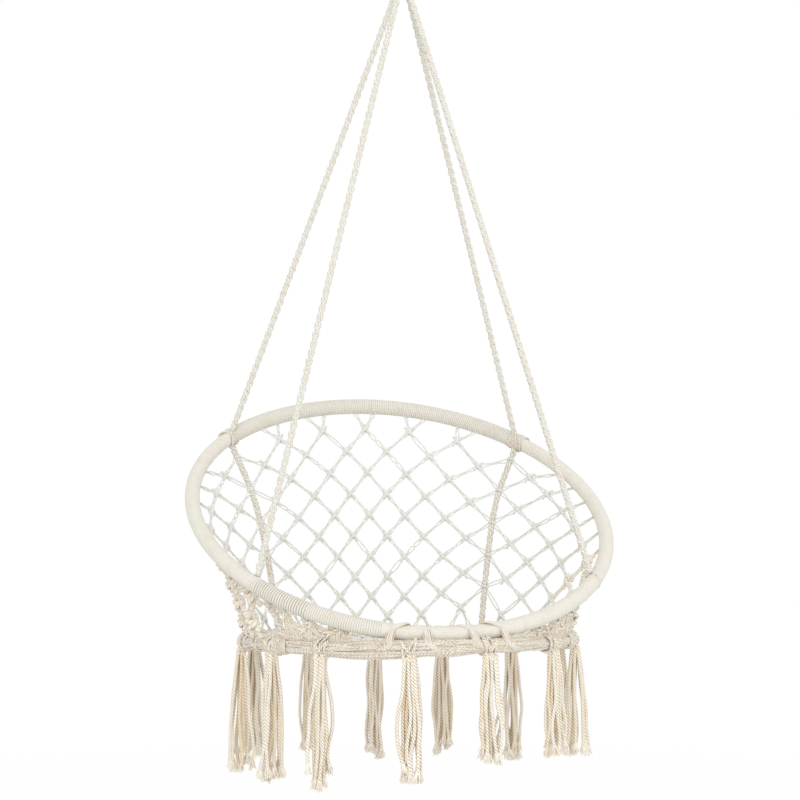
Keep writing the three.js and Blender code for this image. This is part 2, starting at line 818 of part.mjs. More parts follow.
// Cord turns that tie the seat ring under the hoop, round both of them
function frontTie(name, angle) {
  const place = seat.point(angle);
  const along = seat.tangent(angle);
  const rise = hoop.point(hoopAngle(angle)).sub(place);
  rise.addScaledVector(along, -rise.dot(along)).normalize();
  const across = along.clone().cross(rise);
  const cover = gap + tie_slack + lashing_cord_radius;
  const highReach = around(front_wrap_radius + cover, 2 * tie_half_steps);
  const lowReach = around(seat_cover_radius + cover, 2 * tie_half_steps);
  const loop = [];
  for (let i = 0; i <= tie_half_steps; i += 1) {
    loop.push([hoop, highReach, (Math.PI * i) / tie_half_steps]);
  }
  for (let i = 0; i <= tie_half_steps; i += 1) {
    loop.push([seat, lowReach, Math.PI + (Math.PI * i) / tie_half_steps]);
  }
  const points = [];
  const normals = [];
  for (let i = 0; i <= tie_turns * loop.length; i += 1) {
    const [line, reach, turn] = loop[i % loop.length];
    const advance = (i / loop.length - tie_turns / 2) * lashing_pitch;
    const there = place.clone().addScaledVector(along, advance);
    const out = across.clone().multiplyScalar(Math.cos(turn)).addScaledVector(rise, Math.sin(turn));
    points.push(crossing(line, there, along, angle).addScaledVector(out, reach));
    normals.push(out.negate());
  }
  return winding(name, points, normals, loop.length);
}

// One tassel: a rolled head that turns under the ring and a bundle that widens downwards
function tassel(name, angle, share) {
  const along = seat.tangent(angle);
  along.z = 0;
  along.normalize();
  const outward = up.clone().cross(along);
  const away = seat_cover_radius * Math.cos(Math.PI / wrap_sides) + tassel_gap + tassel_head_radius;
  const head = seat.point(angle).addScaledVector(outward, away * Math.sin(tassel_hang_angle * degree));
  head.z -= away * Math.cos(tassel_hang_angle * degree);
  const length = tassel_length * share;
  const width = tassel_width / 2;
  const deep = tassel_head_radius;
  const levels = [
    [0.9 * deep, 0.8 * width, 0.43 * deep],
    [0.5 * deep, width, 0.86 * deep],
    [0, width, deep],
    [-0.15 * length, width + tassel_flare / 6, deep + tassel_flare / 12],
    [-0.6 * length, width + tassel_flare / 3, deep + tassel_flare / 6],
    [-0.93 * length, width + tassel_flare / 2, deep + tassel_flare / 4],
    [-length, width + tassel_flare / 6, 0.9 * deep],
  ];
  const sides = tassel_sides;
  const positions = [];
  const index = [];
  levels.forEach(([height, wide, thick]) => {
    for (let k = 0; k < sides; k += 1) {
      const turn = (2 * Math.PI * (k + 0.5)) / sides;
      const flute = height < 0 && k % 2 === 0 ? 0.86 : 1;
      const spread = (value) => Math.sign(value) * Math.sqrt(Math.abs(value));
      const corner = head.clone().addScaledVector(along, flute * wide * spread(Math.cos(turn)));
      corner.addScaledVector(outward, flute * thick * spread(Math.sin(turn)));
      corner.z += height;
      positions.push(corner.x, corner.y, corner.z);
    }
  });
  for (let i = 0; i + 1 < levels.length; i += 1) {
    for (let k = 0; k < sides; k += 1) {
      const a = i * sides + k;
      const b = i * sides + ((k + 1) % sides);
      index.push(a, a + sides, b + sides, a, b + sides, b);
    }
  }
  const last = (levels.length - 1) * sides;
  for (let k = 1; k + 1 < sides; k += 1) {
    index.push(0, k, k + 1);
    index.push(last, last + k + 1, last + k);
  }
  const geometry = new THREE.BufferGeometry();
  geometry.setAttribute('position', new THREE.Float32BufferAttribute(positions, 3));
  geometry.setIndex(index);
  return named(name, geometry, tassel_cotton);
}

function crownGroup() {
  const group = new THREE.Group();
  group.add(hangingRing());
  group.add(ropeEye('rope_eye_left', -1));
  group.add(ropeEye('rope_eye_right', 1));
  group.add(crownKnot());
  group.add(crownSeizing());
  return group;
}

function hoopGroup() {
  const group = hoop.group();
  group.add(named('hoop_tube', ringTube(hoop, hoop_tube_radius, hoop_segments), steel));
  const rear = rear_rope_hoop_angle;
  const front = front_rope_hoop_angle;
  const parts = [
    ['hoop_wrap_rear', rear_wrap_radius, -rear, rear],
    ['hoop_wrap_right', side_wrap_radius, rear, front],
    ['hoop_wrap_front', front_wrap_radius, front, 360 - front],
    ['hoop_wrap_left', side_wrap_radius, 360 - front, 360 - rear],
  ];
  parts.forEach(([name, radius, from, to]) => {
    group.add(named(name, sleeve(hoop, hoop_tube_radius, radius, hoop_segments, from, to), cotton));
  });
  return group;
}

function seatGroup() {
  const group = seat.group();
  group.add(named('seat_tube', ringTube(seat, seat_tube_radius, seat_segments), steel));
  const rear = rear_rope_seat_angle;
  const front = front_rope_seat_angle;
  const parts = [
    ['seat_cover_rear', -rear, rear],
    ['seat_cover_right', rear, front],
    ['seat_cover_front', front, 360 - front],
    ['seat_cover_left', 360 - front, 360 - rear],
  ];
  parts.forEach(([name, from, to]) => {
    group.add(named(name, sleeve(seat, seat_tube_radius, seat_cover_radius, seat_segments, from, to), cotton));
  });
  group.add(seatNet());
  return group;
}

function ropeGroup() {
  const group = new THREE.Group();
  for (const [side, word] of [[-1, 'left'], [1, 'right']]) {
    group.add(upperRope(`rope_rear_${word}`, side * rear_rope_hoop_angle, rear_wrap_radius));
    group.add(upperRope(`rope_front_${word}`, side * front_rope_hoop_angle, front_wrap_radius));
    group.add(lowerRope(`lower_rope_rear_${word}`, side * rope_column, rear_wrap_radius));
    group.add(lowerRope(`lower_rope_front_${word}`, side * front_column, front_wrap_radius));
    group.add(ringLashing(`hoop_lashing_rear_${word}`, hoop, rear_wrap_radius, side * rear_rope_hoop_angle, hoop_lashing_turns));
    group.add(ringLashing(`hoop_lashing_front_${word}`, hoop, front_wrap_radius, side * front_rope_hoop_angle, hoop_lashing_turns));
    group.add(ringLashing(`seat_lashing_rear_${word}`, seat, seat_cover_radius, side * rear_rope_seat_angle, seat_lashing_turns));
    group.add(ringLashing(`seat_lashing_front_${word}`, seat, seat_cover_radius, side * front_rope_seat_angle, seat_lashing_turns));
  }
  tie_angles.forEach((angle, i) => group.add(frontTie(`front_tie_${i + 1}`, angle)));
  return group;
}

function netGroup() {
  const group = new THREE.Group();
  const columnsBetween = (from, to) => {
    const list = [];
    for (let column = from; column <= to; column += 0.5) list.push(column);
    return list;
  };
  const half = 0.5;
  group.add(netPanel('net_rear', columnsBetween(half - rope_column, rope_column - half)));
  group.add(netPanel('net_right', columnsBetween(rope_column + half, front_column - half)));
  group.add(netPanel('net_left', columnsBetween(half - front_column, -rope_column - half)));
  group.add(frontNet('net_front_right', 1));
  group.add(frontNet('net_front_left', -1));
  return group;
}

function tasselGroup() {
  const group = new THREE.Group();
  const pitch = 360 / tassel_count;
  const [backPlace, backLength] = back_tassel_shares;
  group.add(tassel('tassel_back', backPlace * pitch, backLength));
  left_place_shares.forEach((share, i) => {
    group.add(tassel(`tassel_left_${i + 1}`, -share * pitch, left_length_shares[i]));
  });
  right_place_shares.forEach((share, i) => {
    group.add(tassel(`tassel_right_${i + 1}`, share * pitch, right_length_shares[i]));
  });
  return group;
}

const chair = new THREE.Group();
chair.add(crownGroup(), hoopGroup(), seatGroup(), ropeGroup(), netGroup(), tasselGroup());

export default chair;
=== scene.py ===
"""A hanging hammock chair of knotted cotton cord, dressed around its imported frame."""
import logging
import math
import random
from dataclasses import dataclass
from enum import Enum
from itertools import accumulate

import bmesh
import bpy
import numpy as np
from mathutils import Matrix, Vector


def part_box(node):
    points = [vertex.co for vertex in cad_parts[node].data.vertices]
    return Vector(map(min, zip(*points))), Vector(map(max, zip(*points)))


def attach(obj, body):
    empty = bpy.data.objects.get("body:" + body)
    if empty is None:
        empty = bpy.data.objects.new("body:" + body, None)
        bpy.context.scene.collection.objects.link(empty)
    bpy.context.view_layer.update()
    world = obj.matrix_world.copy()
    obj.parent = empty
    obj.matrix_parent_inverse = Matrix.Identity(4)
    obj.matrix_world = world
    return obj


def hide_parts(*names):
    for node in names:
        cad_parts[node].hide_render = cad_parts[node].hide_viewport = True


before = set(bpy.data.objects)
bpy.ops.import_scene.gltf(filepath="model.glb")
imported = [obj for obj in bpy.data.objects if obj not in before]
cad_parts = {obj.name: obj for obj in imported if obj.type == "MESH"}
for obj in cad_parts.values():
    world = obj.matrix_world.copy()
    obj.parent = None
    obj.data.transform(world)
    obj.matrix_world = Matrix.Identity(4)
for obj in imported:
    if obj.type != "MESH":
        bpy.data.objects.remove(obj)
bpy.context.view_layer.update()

log = logging.getLogger("hammock_chair")

Line = list[Vector]
Tint = tuple[float, float, float]
Socket = bpy.types.NodeSocket
UP = Vector((0.0, 0.0, 1.0))
WHITE = (1.0, 1.0, 1.0, 1.0)
PLAIT_STEPS = 14
SIDES = (("left", -1), ("right", 1))


class Slot(Enum):
    """The record's material slots, handed to the pieces' builds."""

    CORD = "cord_cotton"
    ROPE = "rope_cotton"
    TASSEL = "tassel_cotton"
    RING = "ring_steel"


class Body(Enum):
    """The bodies that the pieces ride on, apart from the tassels' own."""

    RING = "ring"
    EYES = "eyes"
    CROWN = "crown"
    CHAIR = "chair"


def linear(tint: Tint) -> tuple[float, ...]:
    """Turn a colour as it looks on a screen into linear light, with full cover."""
    steps = [c / 12.92 if c <= 0.04045 else ((c + 0.055) / 1.055) ** 2.4 for c in tint]
    return (*steps, 1.0)


def smoothstep(low: float, high: float, value: float) -> float:
    """Rise gently from 0 at low to 1 at high."""
    share = min(1.0, max(0.0, (value - low) / (high - low)))
    return share * share * (3 - 2 * share)


def shares(count: int) -> list[float]:
    """Give the ends of so many equal steps from 0 to 1."""
    return [i / count for i in range(count + 1)]


def distances(line: Line) -> list[float]:
    """Give each point's distance from the start of its line."""
    return list(accumulate(((b - a).length for a, b in zip(line, line[1:])), initial=0.0))


def around(side: Vector, lift: Vector, turn: float) -> Vector:
    """Give the direction at a turn in radians from one direction towards another."""
    return side * math.cos(turn) + lift * math.sin(turn)


def polar(out: float, turn: float, height: float) -> Vector:
    """Give the place at a distance from the upright axis, a turn round it and a height."""
    return Vector((out * math.cos(turn), out * math.sin(turn), height))


def square_to(run: Vector) -> tuple[Vector, Vector]:
    """Give two directions square to a run and to each other."""
    side = run.orthogonal().normalized()
    return side, run.cross(side)


def drawn(chance: random.Random, radius: float, low: float, high: float, raw: float) -> tuple[float, float]:
    """Draw a cord's half thickness, between two factors of the usual, and its tone up to the rawest."""
    return radius * chance.uniform(low, high), chance.uniform(0.0, raw)


def resampled(line: Line, step: float) -> Line:
    """Place points evenly along a line.

    Args:
        line: the points it goes through.
        step: the wanted distance between points.

    Returns:
        The evenly placed points, both ends kept.
    """
    runs = distances(line)
    marks = np.linspace(0.0, runs[-1], max(2, round(runs[-1] / step) + 1))
    columns = [np.interp(marks, runs, values) for values in zip(*line)]
    return [Vector(place) for place in zip(*columns)]


def rounded(line: Line, per_span: int) -> Line:
    """Draw a smooth line through a few points.

    Args:
        line: the points that it passes.
        per_span: how many points each span gets.

    Returns:
        The points of the smooth line.
    """
    ends = [line[0] * 2 - line[1], *line, line[-1] * 2 - line[-2]]
    points = []
    for a, b, c, d in zip(ends, ends[1:], ends[2:], ends[3:]):
        for t in shares(per_span)[:-1]:
            bend = (a * 2 - b * 5 + c * 4 - d) * t * t + (b * 3 - a - c * 3 + d) * t**3
            points.append((b * 2 + (c - a) * t + bend) * 0.5)
    return [*points, line[-1].copy()]


def braided(line: Line, spread: float, swing: float, pitch: float, phase: float = 0.0) -> list[Line]:
    """Plait four strands round a line, each over one and under the next.

    Args:
        line: the rope's middle.
        spread: how far the strands run from the middle.
        swing: how far they move in and out as they cross.
        pitch: length of one full turn.
        phase: turn of the whole plait in radians.

    Returns:
        The four strands' lines.
    """
    line = resampled(line, pitch / PLAIT_STEPS)
    strands: list[Line] = [[], [], [], []]
    across = None
    for i, (place, run) in enumerate(zip(line, distances(line))):
        ahead = (line[min(i + 1, len(line) - 1)] - line[max(i - 1, 0)]).normalized()
        across = ahead.orthogonal() if across is None else across - ahead * across.dot(ahead)
        across = across.normalized()
        for k, strand in enumerate(strands):
            way = 1 if k < 2 else -1
            turn = way * math.tau * run / pitch + math.pi * (k % 2) + phase
            out = spread + way * swing * math.cos(2 * math.tau * run / pitch)
            strand.append(place + around(across, ahead.cross(across), turn) * out)
    return strands


def placed(name: str, data: bpy.types.ID | None) -> bpy.types.Object:
    """Put some data into the scene as an object.

    Args:
        name: the object's name.
        data: its mesh, curve, camera or lamp.

    Returns:
        The new object.
    """
    thing = bpy.data.objects.new(name, data)
    bpy.context.scene.collection.objects.link(thing)
    return thing


def meshed(name: str, shape: bmesh.types.BMesh, material: bpy.types.Material) -> bpy.types.Object:
    """Put a finished shape into the scene.

    Args:
        name: the object's name.
        shape: its shape, freed here.
        material: its finish.

    Returns:
        The new object.
    """
    mesh = bpy.data.meshes.new(name)
    shape.to_mesh(mesh)
    shape.free()
    mesh.materials.append(material)
    return placed(name, mesh)


def settle(piece: bpy.types.Object, body: str, nodes: tuple[str, ...]) -> None:
    """Tell the frame what a piece rides on and stands for.

    Args:
        piece: the finished object.
        body: the body that it rides on.
        nodes: the CAD nodes that it replaces.
    """
    if nodes:
        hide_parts(*nodes)
    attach(piece, body)
    log.info("%s rides on %s, %d faces", piece.name, body, len(piece.data.polygons))


@dataclass
class Strand:
    """One cord: its line, half thickness, tone, length of twist, widths and how strongly its grooves show as
    bumps and as painted shade.
    """

    points: Line
    radius: float
    tone: float
    pitch: float
    widths: list[float]
    cut: float


class CordPiece:
    """Many cords made into one mesh, each with its own twist and tone."""

    def __init__(self, name: str, sides: int = 6) -> None:
        """Start an empty piece of cords with so many sides each."""
        self.name, self.sides = name, sides
        self.strands: list[Strand] = []

    def add(
        self, points: Line, radius: float, tone: float = 0.0, pitch: float = 0.0,
        widths: list[float] | None = None, cut: float = 1.0,
    ) -> None:
        """Add one cord.

        Args:
            points: the line that it follows.
            radius: half its thickness.
            tone: 0 for bleached ivory up to 1 for raw tan; on some cords the tan is painted shade.
            pitch: length of one turn of its plies, or zero for three times its thickness.
            widths: factors on the radius, one for each point.
            cut: how strongly the grooves between its plies or turns show, as bumps and as painted shade.
        """
        lay = pitch or radius * 6
        self.strands.append(Strand(points, radius, tone, lay, widths or [1.0] * len(points), cut))

    def _mesh(self) -> bpy.types.Mesh:
        """Sweep every cord into one mesh.

        Returns:
            The mesh, caps first and then the walls in order.
        """
        curve = bpy.data.curves.new(self.name, "CURVE")
        curve.dimensions = "3D"
        curve.bevel_depth = 1.0
        curve.bevel_resolution = (self.sides - 4) // 2
        curve.use_fill_caps = True
        for strand in self.strands:
            spline = curve.splines.new("POLY")
            spline.points.add(len(strand.points) - 1)
            spline.points.foreach_set("co", [v for p in strand.points for v in (*p, 1.0)])
            spline.points.foreach_set("radius", [strand.radius * w for w in strand.widths])
        source = placed(self.name + "_lines", curve)
        graph = bpy.context.evaluated_depsgraph_get()
        mesh = bpy.data.meshes.new_from_object(source.evaluated_get(graph))
        bpy.data.objects.remove(source)
        bpy.data.curves.remove(curve)
        return mesh

    def _mark(self, mesh: bpy.types.Mesh) -> None:
        """Write each cord's twist into the UV map, and its tone and its groove strength, which drives the
        painted groove shade and the bumps, into attributes.

        Args:
            mesh: the swept mesh.
        """
        count, faces = len(self.strands), len(mesh.polygons)
        caps = np.repeat(np.arange(count)[::-1], 2 * (self.sides - 2))
        walls = np.repeat(np.arange(count), [(len(s.points) - 1) * self.sides for s in self.strands])
        owner = np.concatenate([caps, walls])
        if len(owner) != faces:
            raise ValueError(f"{self.name}: {faces} faces where {len(owner)} were expected")
        totals = np.empty(faces, dtype=np.int32)
        mesh.polygons.foreach_get("loop_total", totals)
        corner = np.repeat(owner, totals)
        turns = np.array([distances(s.points)[-1] / s.pitch for s in self.strands])
        layer = mesh.uv_layers[0]
        places = np.empty(len(mesh.loops) * 2, dtype=np.float32)
        layer.uv.foreach_get("vector", places)
        places[0::2] *= turns[corner]
        layer.uv.foreach_set("vector", places)
        for name in ("tone", "cut"):
            marks = np.array([getattr(s, name) for s in self.strands], dtype=np.float32)
            mesh.attributes.new(name, "FLOAT", "CORNER").data.foreach_set("value", marks[corner])
        mesh.polygons.foreach_set("use_smooth", np.ones(faces, dtype=bool))

    def build(
        self, material: bpy.types.Material, *nodes: str, body: str = Body.CHAIR.value, slot: Slot = Slot.CORD,
    ) -> bpy.types.Object:
        """Make the piece and hang it on its body.

        Args:
            material: its finish.
            nodes: the CAD nodes that it stands for.
            body: the body that it rides on.
            slot: the record's slot that the finish belongs to; not used.

        Returns:
            The finished object.
        """
        mesh = self._mesh()
        self._mark(mesh)
        mesh.name = self.name
        mesh.materials.clear()
        mesh.materials.append(material)
        piece = placed(self.name, mesh)
        settle(piece, body, nodes)
        return piece


class Sketch:
    """The nodes of a material or of the room's light, drawn one at a time."""

    def __init__(self, owner: bpy.types.ID, output: str = "ShaderNodeOutputMaterial") -> None:
        """Start with nothing but the output.

        Args:
            owner: the material or world that the nodes belong to.
            output: the type of its output node.
        """
        owner.use_nodes = True
        self.owner, self.tree = owner, owner.node_tree
        self.tree.nodes.clear()
        self.output = self.tree.nodes.new(output)

    def node(
        self, kind: str, inputs: dict[str | int, object] | None = None, **settings: object,
    ) -> bpy.types.Node:
        """Add a node.

        Args:
            kind: the node's type.
            inputs: values or sockets for its inputs.
            settings: the node's own properties.

        Returns:
            The new node.
        """
        node = self.tree.nodes.new(kind)
        for key, value in settings.items():
            setattr(node, key, value)
        for key, value in (inputs or {}).items():
            if isinstance(value, Socket):
                self.tree.links.new(value, node.inputs[key])
            else:
                node.inputs[key].default_value = value
        return node

    def math(self, operation: str, *values: object) -> Socket:
        """Work out a number from numbers or sockets and give its socket."""
        return self.node("ShaderNodeMath", dict(enumerate(values)), operation=operation).outputs[0]

    def mix(self, share: object, first: object, second: object, blend: str = "MIX") -> Socket:
        """Mix so much of a second colour into a first and give the result's socket."""
        inputs = {"Factor": share, 6: first, 7: second}
        return self.node("ShaderNodeMix", inputs, data_type="RGBA", blend_type=blend).outputs[2]

    def own_place(self) -> Socket:
        """Give the socket of the object's own coordinates."""
        return self.node("ShaderNodeTexCoord").outputs["Object"]

    def noise(self, scale: float, detail: float) -> Socket:
        """Give a cloudy number from 0 to 1, with so many clouds to the metre and so fine a detail."""
        inputs = {"Vector": self.own_place(), "Scale": scale, "Detail": detail}
        return self.node("ShaderNodeTexNoise", inputs).outputs["Fac"]

    def ranged(self, value: object, low: float, high: float, to_low: float, to_high: float) -> Socket:
        """Carry a number from one range to another and hold it there."""
        inputs = {0: value, 1: low, 2: high, 3: to_low, 4: to_high}
        return self.node("ShaderNodeMapRange", inputs).outputs[0]

    def finish(self, shader: bpy.types.Node) -> bpy.types.ID:
        """Join the shader to the output and give the owner."""
        self.tree.links.new(shader.outputs[0], self.output.inputs["Surface"])
        return self.owner


@dataclass(frozen=True)
class CottonFinish:
    """Twisted cotton cord: an ivory yarn with ply ridges, fibre fuzz, raw tan places and painted shade in the
    grooves between plies or turns.
    """

    name: str
    pale: Tint = (0.925, 0.905, 0.865)
    raw: Tint = (0.84, 0.73, 0.58)
    groove_shade: Tint = (0.66, 0.6, 0.52)
    plies: float = 3.0
    lean: float = 3.0
    groove_shade_share: float = 0.35
    groove_shade_cover: float = 0.65
    ridge: float = 0.0004
    ridge_shape: float = 0.7
    fuzz: float = 0.0001
    mottle: float = 0.06
    grain: float = 900.0
    cloud: float = 55.0
    blotches: tuple[float, float] = (-0.12, 0.22)
    roughness: tuple[float, float] = (0.84, 0.97)
    specular: float = 0.25
    sheen: float = 0.15
    sheen_roughness: float = 0.55

    def material(self) -> bpy.types.Material:
        """Draw the finish's nodes.

        Returns:
            The material.
        """
        s = Sketch(bpy.data.materials.new(self.name))
        tone = s.node("ShaderNodeAttribute", attribute_name="tone").outputs["Fac"]
        cut = s.node("ShaderNodeAttribute", attribute_name="cut").outputs["Fac"]
        twist = s.node("ShaderNodeUVMap", uv_map="UVMap").outputs[0]
        along, round_it = s.node("ShaderNodeSeparateXYZ", {0: twist}).outputs[:2]
        wave = s.math("ADD", s.math("MULTIPLY", along, self.plies), s.math("MULTIPLY", round_it, self.lean))
        crest = s.math("ABSOLUTE", s.math("SINE", s.math("MULTIPLY", wave, math.pi)))
        fibre = s.noise(self.grain, 3.0)
        raw_share = s.math("ADD", tone, s.ranged(s.noise(self.cloud, 3.0), 0.35, 0.75, *self.blotches))
        yarn = s.mix(s.ranged(raw_share, 0.0, 1.0, 0.0, 1.0), linear(self.pale), linear(self.raw))
        # Painted shade: the yarn darkens towards the groove tint where plies or turns meet, scaled by each
        # cord's cut.
        shade = s.math("MULTIPLY", s.ranged(crest, 0.05, 0.7, self.groove_shade_share, 0.0), cut)
        shaded = s.mix(shade, yarn, s.mix(self.groove_shade_cover, yarn, linear(self.groove_shade)))
        spots = s.ranged(fibre, 0.25, 0.75, 1.0 - self.mottle, 1.0 + self.mottle)
        grey = s.node("ShaderNodeCombineColor", {0: spots, 1: spots, 2: spots}).outputs[0]
        rise = s.math("MULTIPLY", s.math("POWER", crest, self.ridge_shape), self.ridge)
        height = s.math("ADD", s.math("MULTIPLY", rise, cut), s.math("MULTIPLY", fibre, self.fuzz))
        bump = s.node("ShaderNodeBump", {"Strength": 1.0, "Distance": 1.0, "Height": height})
        return s.finish(s.node("ShaderNodeBsdfPrincipled", {
            "Base Color": s.mix(1.0, shaded, grey, "MULTIPLY"),
            "Roughness": s.ranged(fibre, 0.3, 0.7, *self.roughness),
            "Normal": bump.outputs[0],
            "Specular IOR Level": self.specular,
            "Sheen Weight": self.sheen,
            "Sheen Roughness": self.sheen_roughness,
        }))


@dataclass(frozen=True)
class SteelFinish:
    """Zinc plated steel with a faint grain and duller patches."""

    name: str
    tint: Tint = (0.72, 0.72, 0.71)
    shine: float = 0.32
    duller: Tint = (0.86, 0.87, 0.9)

    def material(self) -> bpy.types.Material:
        """Draw the finish's nodes.

        Returns:
            The material.
        """
        s = Sketch(bpy.data.materials.new(self.name))
        patches = s.noise(70.0, 4.0)
        grain = s.noise(900.0, 2.0)
        dull = linear(tuple(c * d for c, d in zip(self.tint, self.duller)))
        sheen = s.ranged(patches, 0.35, 0.7, self.shine - 0.06, self.shine + 0.14)
        bump = s.node("ShaderNodeBump", {"Strength": 0.35, "Distance": 0.0002, "Height": grain})
        return s.finish(s.node("ShaderNodeBsdfPrincipled", {
            "Base Color": s.mix(s.ranged(patches, 0.4, 0.65, 0.0, 1.0), linear(self.tint), dull),
            "Roughness": s.math("ADD", sheen, s.math("MULTIPLY", grain, 0.06)),
            "Metallic": 1.0,
            "Normal": bump.outputs[0],
        }))


class Wardrobe:
    """Every finish of the chair, made once."""

    def __init__(self) -> None:
        """Make the finishes."""
        self.rope = CottonFinish(
            "braided_rope_cotton", pale=(0.892, 0.887, 0.852), groove_shade=(0.55, 0.48, 0.4), groove_shade_share=0.55,
        ).material()
        self.net = CottonFinish(
            "net_cord_cotton", pale=(0.885, 0.887, 0.868), raw=(0.85, 0.81, 0.73), groove_shade=(0.72, 0.71, 0.67),
            groove_shade_share=0.08, ridge=0.00005, mottle=0.02,
        ).material()
        # Painted light: a brighter, warmer copy of the net cord that lifts the low cords out of their shade,
        # with painted shade in its grooves.
        self.brightened_low_net = CottonFinish(
            "low_net_cotton", pale=(0.965, 0.942, 0.893), raw=(0.87, 0.79, 0.67), groove_shade=(0.52, 0.43, 0.33),
            groove_shade_share=0.6,
        ).material()
        self.lashing = CottonFinish(
            "lashing_cord_cotton", pale=(0.92, 0.9, 0.858), groove_shade=(0.5, 0.41, 0.32), groove_shade_share=0.6,
            ridge=0.0005,
        ).material()
        self.tassel = CottonFinish(
            "tassel_cord_cotton", pale=(0.985, 0.965, 0.915), raw=(0.95, 0.86, 0.72),
            groove_shade=(0.52, 0.41, 0.28), groove_shade_share=0.85, ridge=0.0009, mottle=0.1,
        ).material()
        self.fray = CottonFinish(
            "frayed_cotton", pale=(0.97, 0.95, 0.905), plies=0.0, lean=0.0, ridge=0.0, groove_shade_share=0.0,
        ).material()
        self.whipping = CottonFinish(
            "whipping_cotton", pale=(0.882, 0.869, 0.83), groove_shade=(0.5, 0.43, 0.35), plies=1.0, lean=0.0,
            groove_shade_share=0.95, ridge=0.0006, mottle=0.08, grain=420.0, fuzz=0.0002,
        ).material()
        self.cover = CottonFinish(
            "seat_cover_cotton", pale=(0.87, 0.84, 0.78), plies=1.0, lean=0.0, groove_shade_share=0.3, ridge=0.0002,
        ).material()
        self.seat_cord = CottonFinish(
            "seat_cord_cotton", pale=(0.95, 0.926, 0.878), raw=(0.87, 0.78, 0.65), groove_shade=(0.42, 0.32, 0.22),
            groove_shade_share=0.75, ridge=0.0009, mottle=0.22, grain=300.0,
        ).material()
        self.ring_steel = SteelFinish("polished_ring_steel").material()
        self.tube_steel = SteelFinish("plain_tube_steel", (0.6, 0.6, 0.6), 0.45).material()


@dataclass(frozen=True)
class RingLine:
    """The centre line of one of the two rings: a circle tilted about the left-right line."""

    middle: Tint
    radius: float
    tilt: float

    def radial(self, angle: float) -> Vector:
        """Give the direction from the middle at an angle from the back."""
        a, t = math.radians(angle), math.radians(self.tilt)
        return Vector((math.sin(a), math.cos(a) * math.cos(t), math.cos(a) * math.sin(t)))

    def tangent(self, angle: float) -> Vector:
        """Give the direction along the ring."""
        return self.radial(angle + 90)

    @property
    def axis(self) -> Vector:
        """Give the direction square to the ring's plane, on its upper side."""
        t = math.radians(self.tilt)
        return Vector((0.0, -math.sin(t), math.cos(t)))

    def point(self, angle: float) -> Vector:
        """Give the place on the centre line."""
        return Vector(self.middle) + self.radial(angle) * self.radius

    def skin(self, angle: float, turn: float, reach: float) -> Vector:
        """Give a place off the centre line, at a turn round the tube: 0 outward and 90 up."""
        return self.point(angle) + around(self.radial(angle), self.axis, math.radians(turn)) * reach

    def loop(self, middle: float, half: float, start: float, reach: float) -> Line:
        """Lead a cord once round the tube at a slant.

        Args:
            middle: its angle on the ring.
            half: how far it slants to either side, in degrees.
            start: the turn round the tube that it starts at.
            reach: its distance from the centre line.

        Returns:
            The cord's points.
        """
        return [
            self.skin(middle + half * math.sin(math.tau * share), start + 360 * share, reach)
            for share in shares(24)
        ]

    def degrees(self, length: float) -> float:
        """Give the angle that a length along the ring takes up."""
        return math.degrees(length / self.radius)


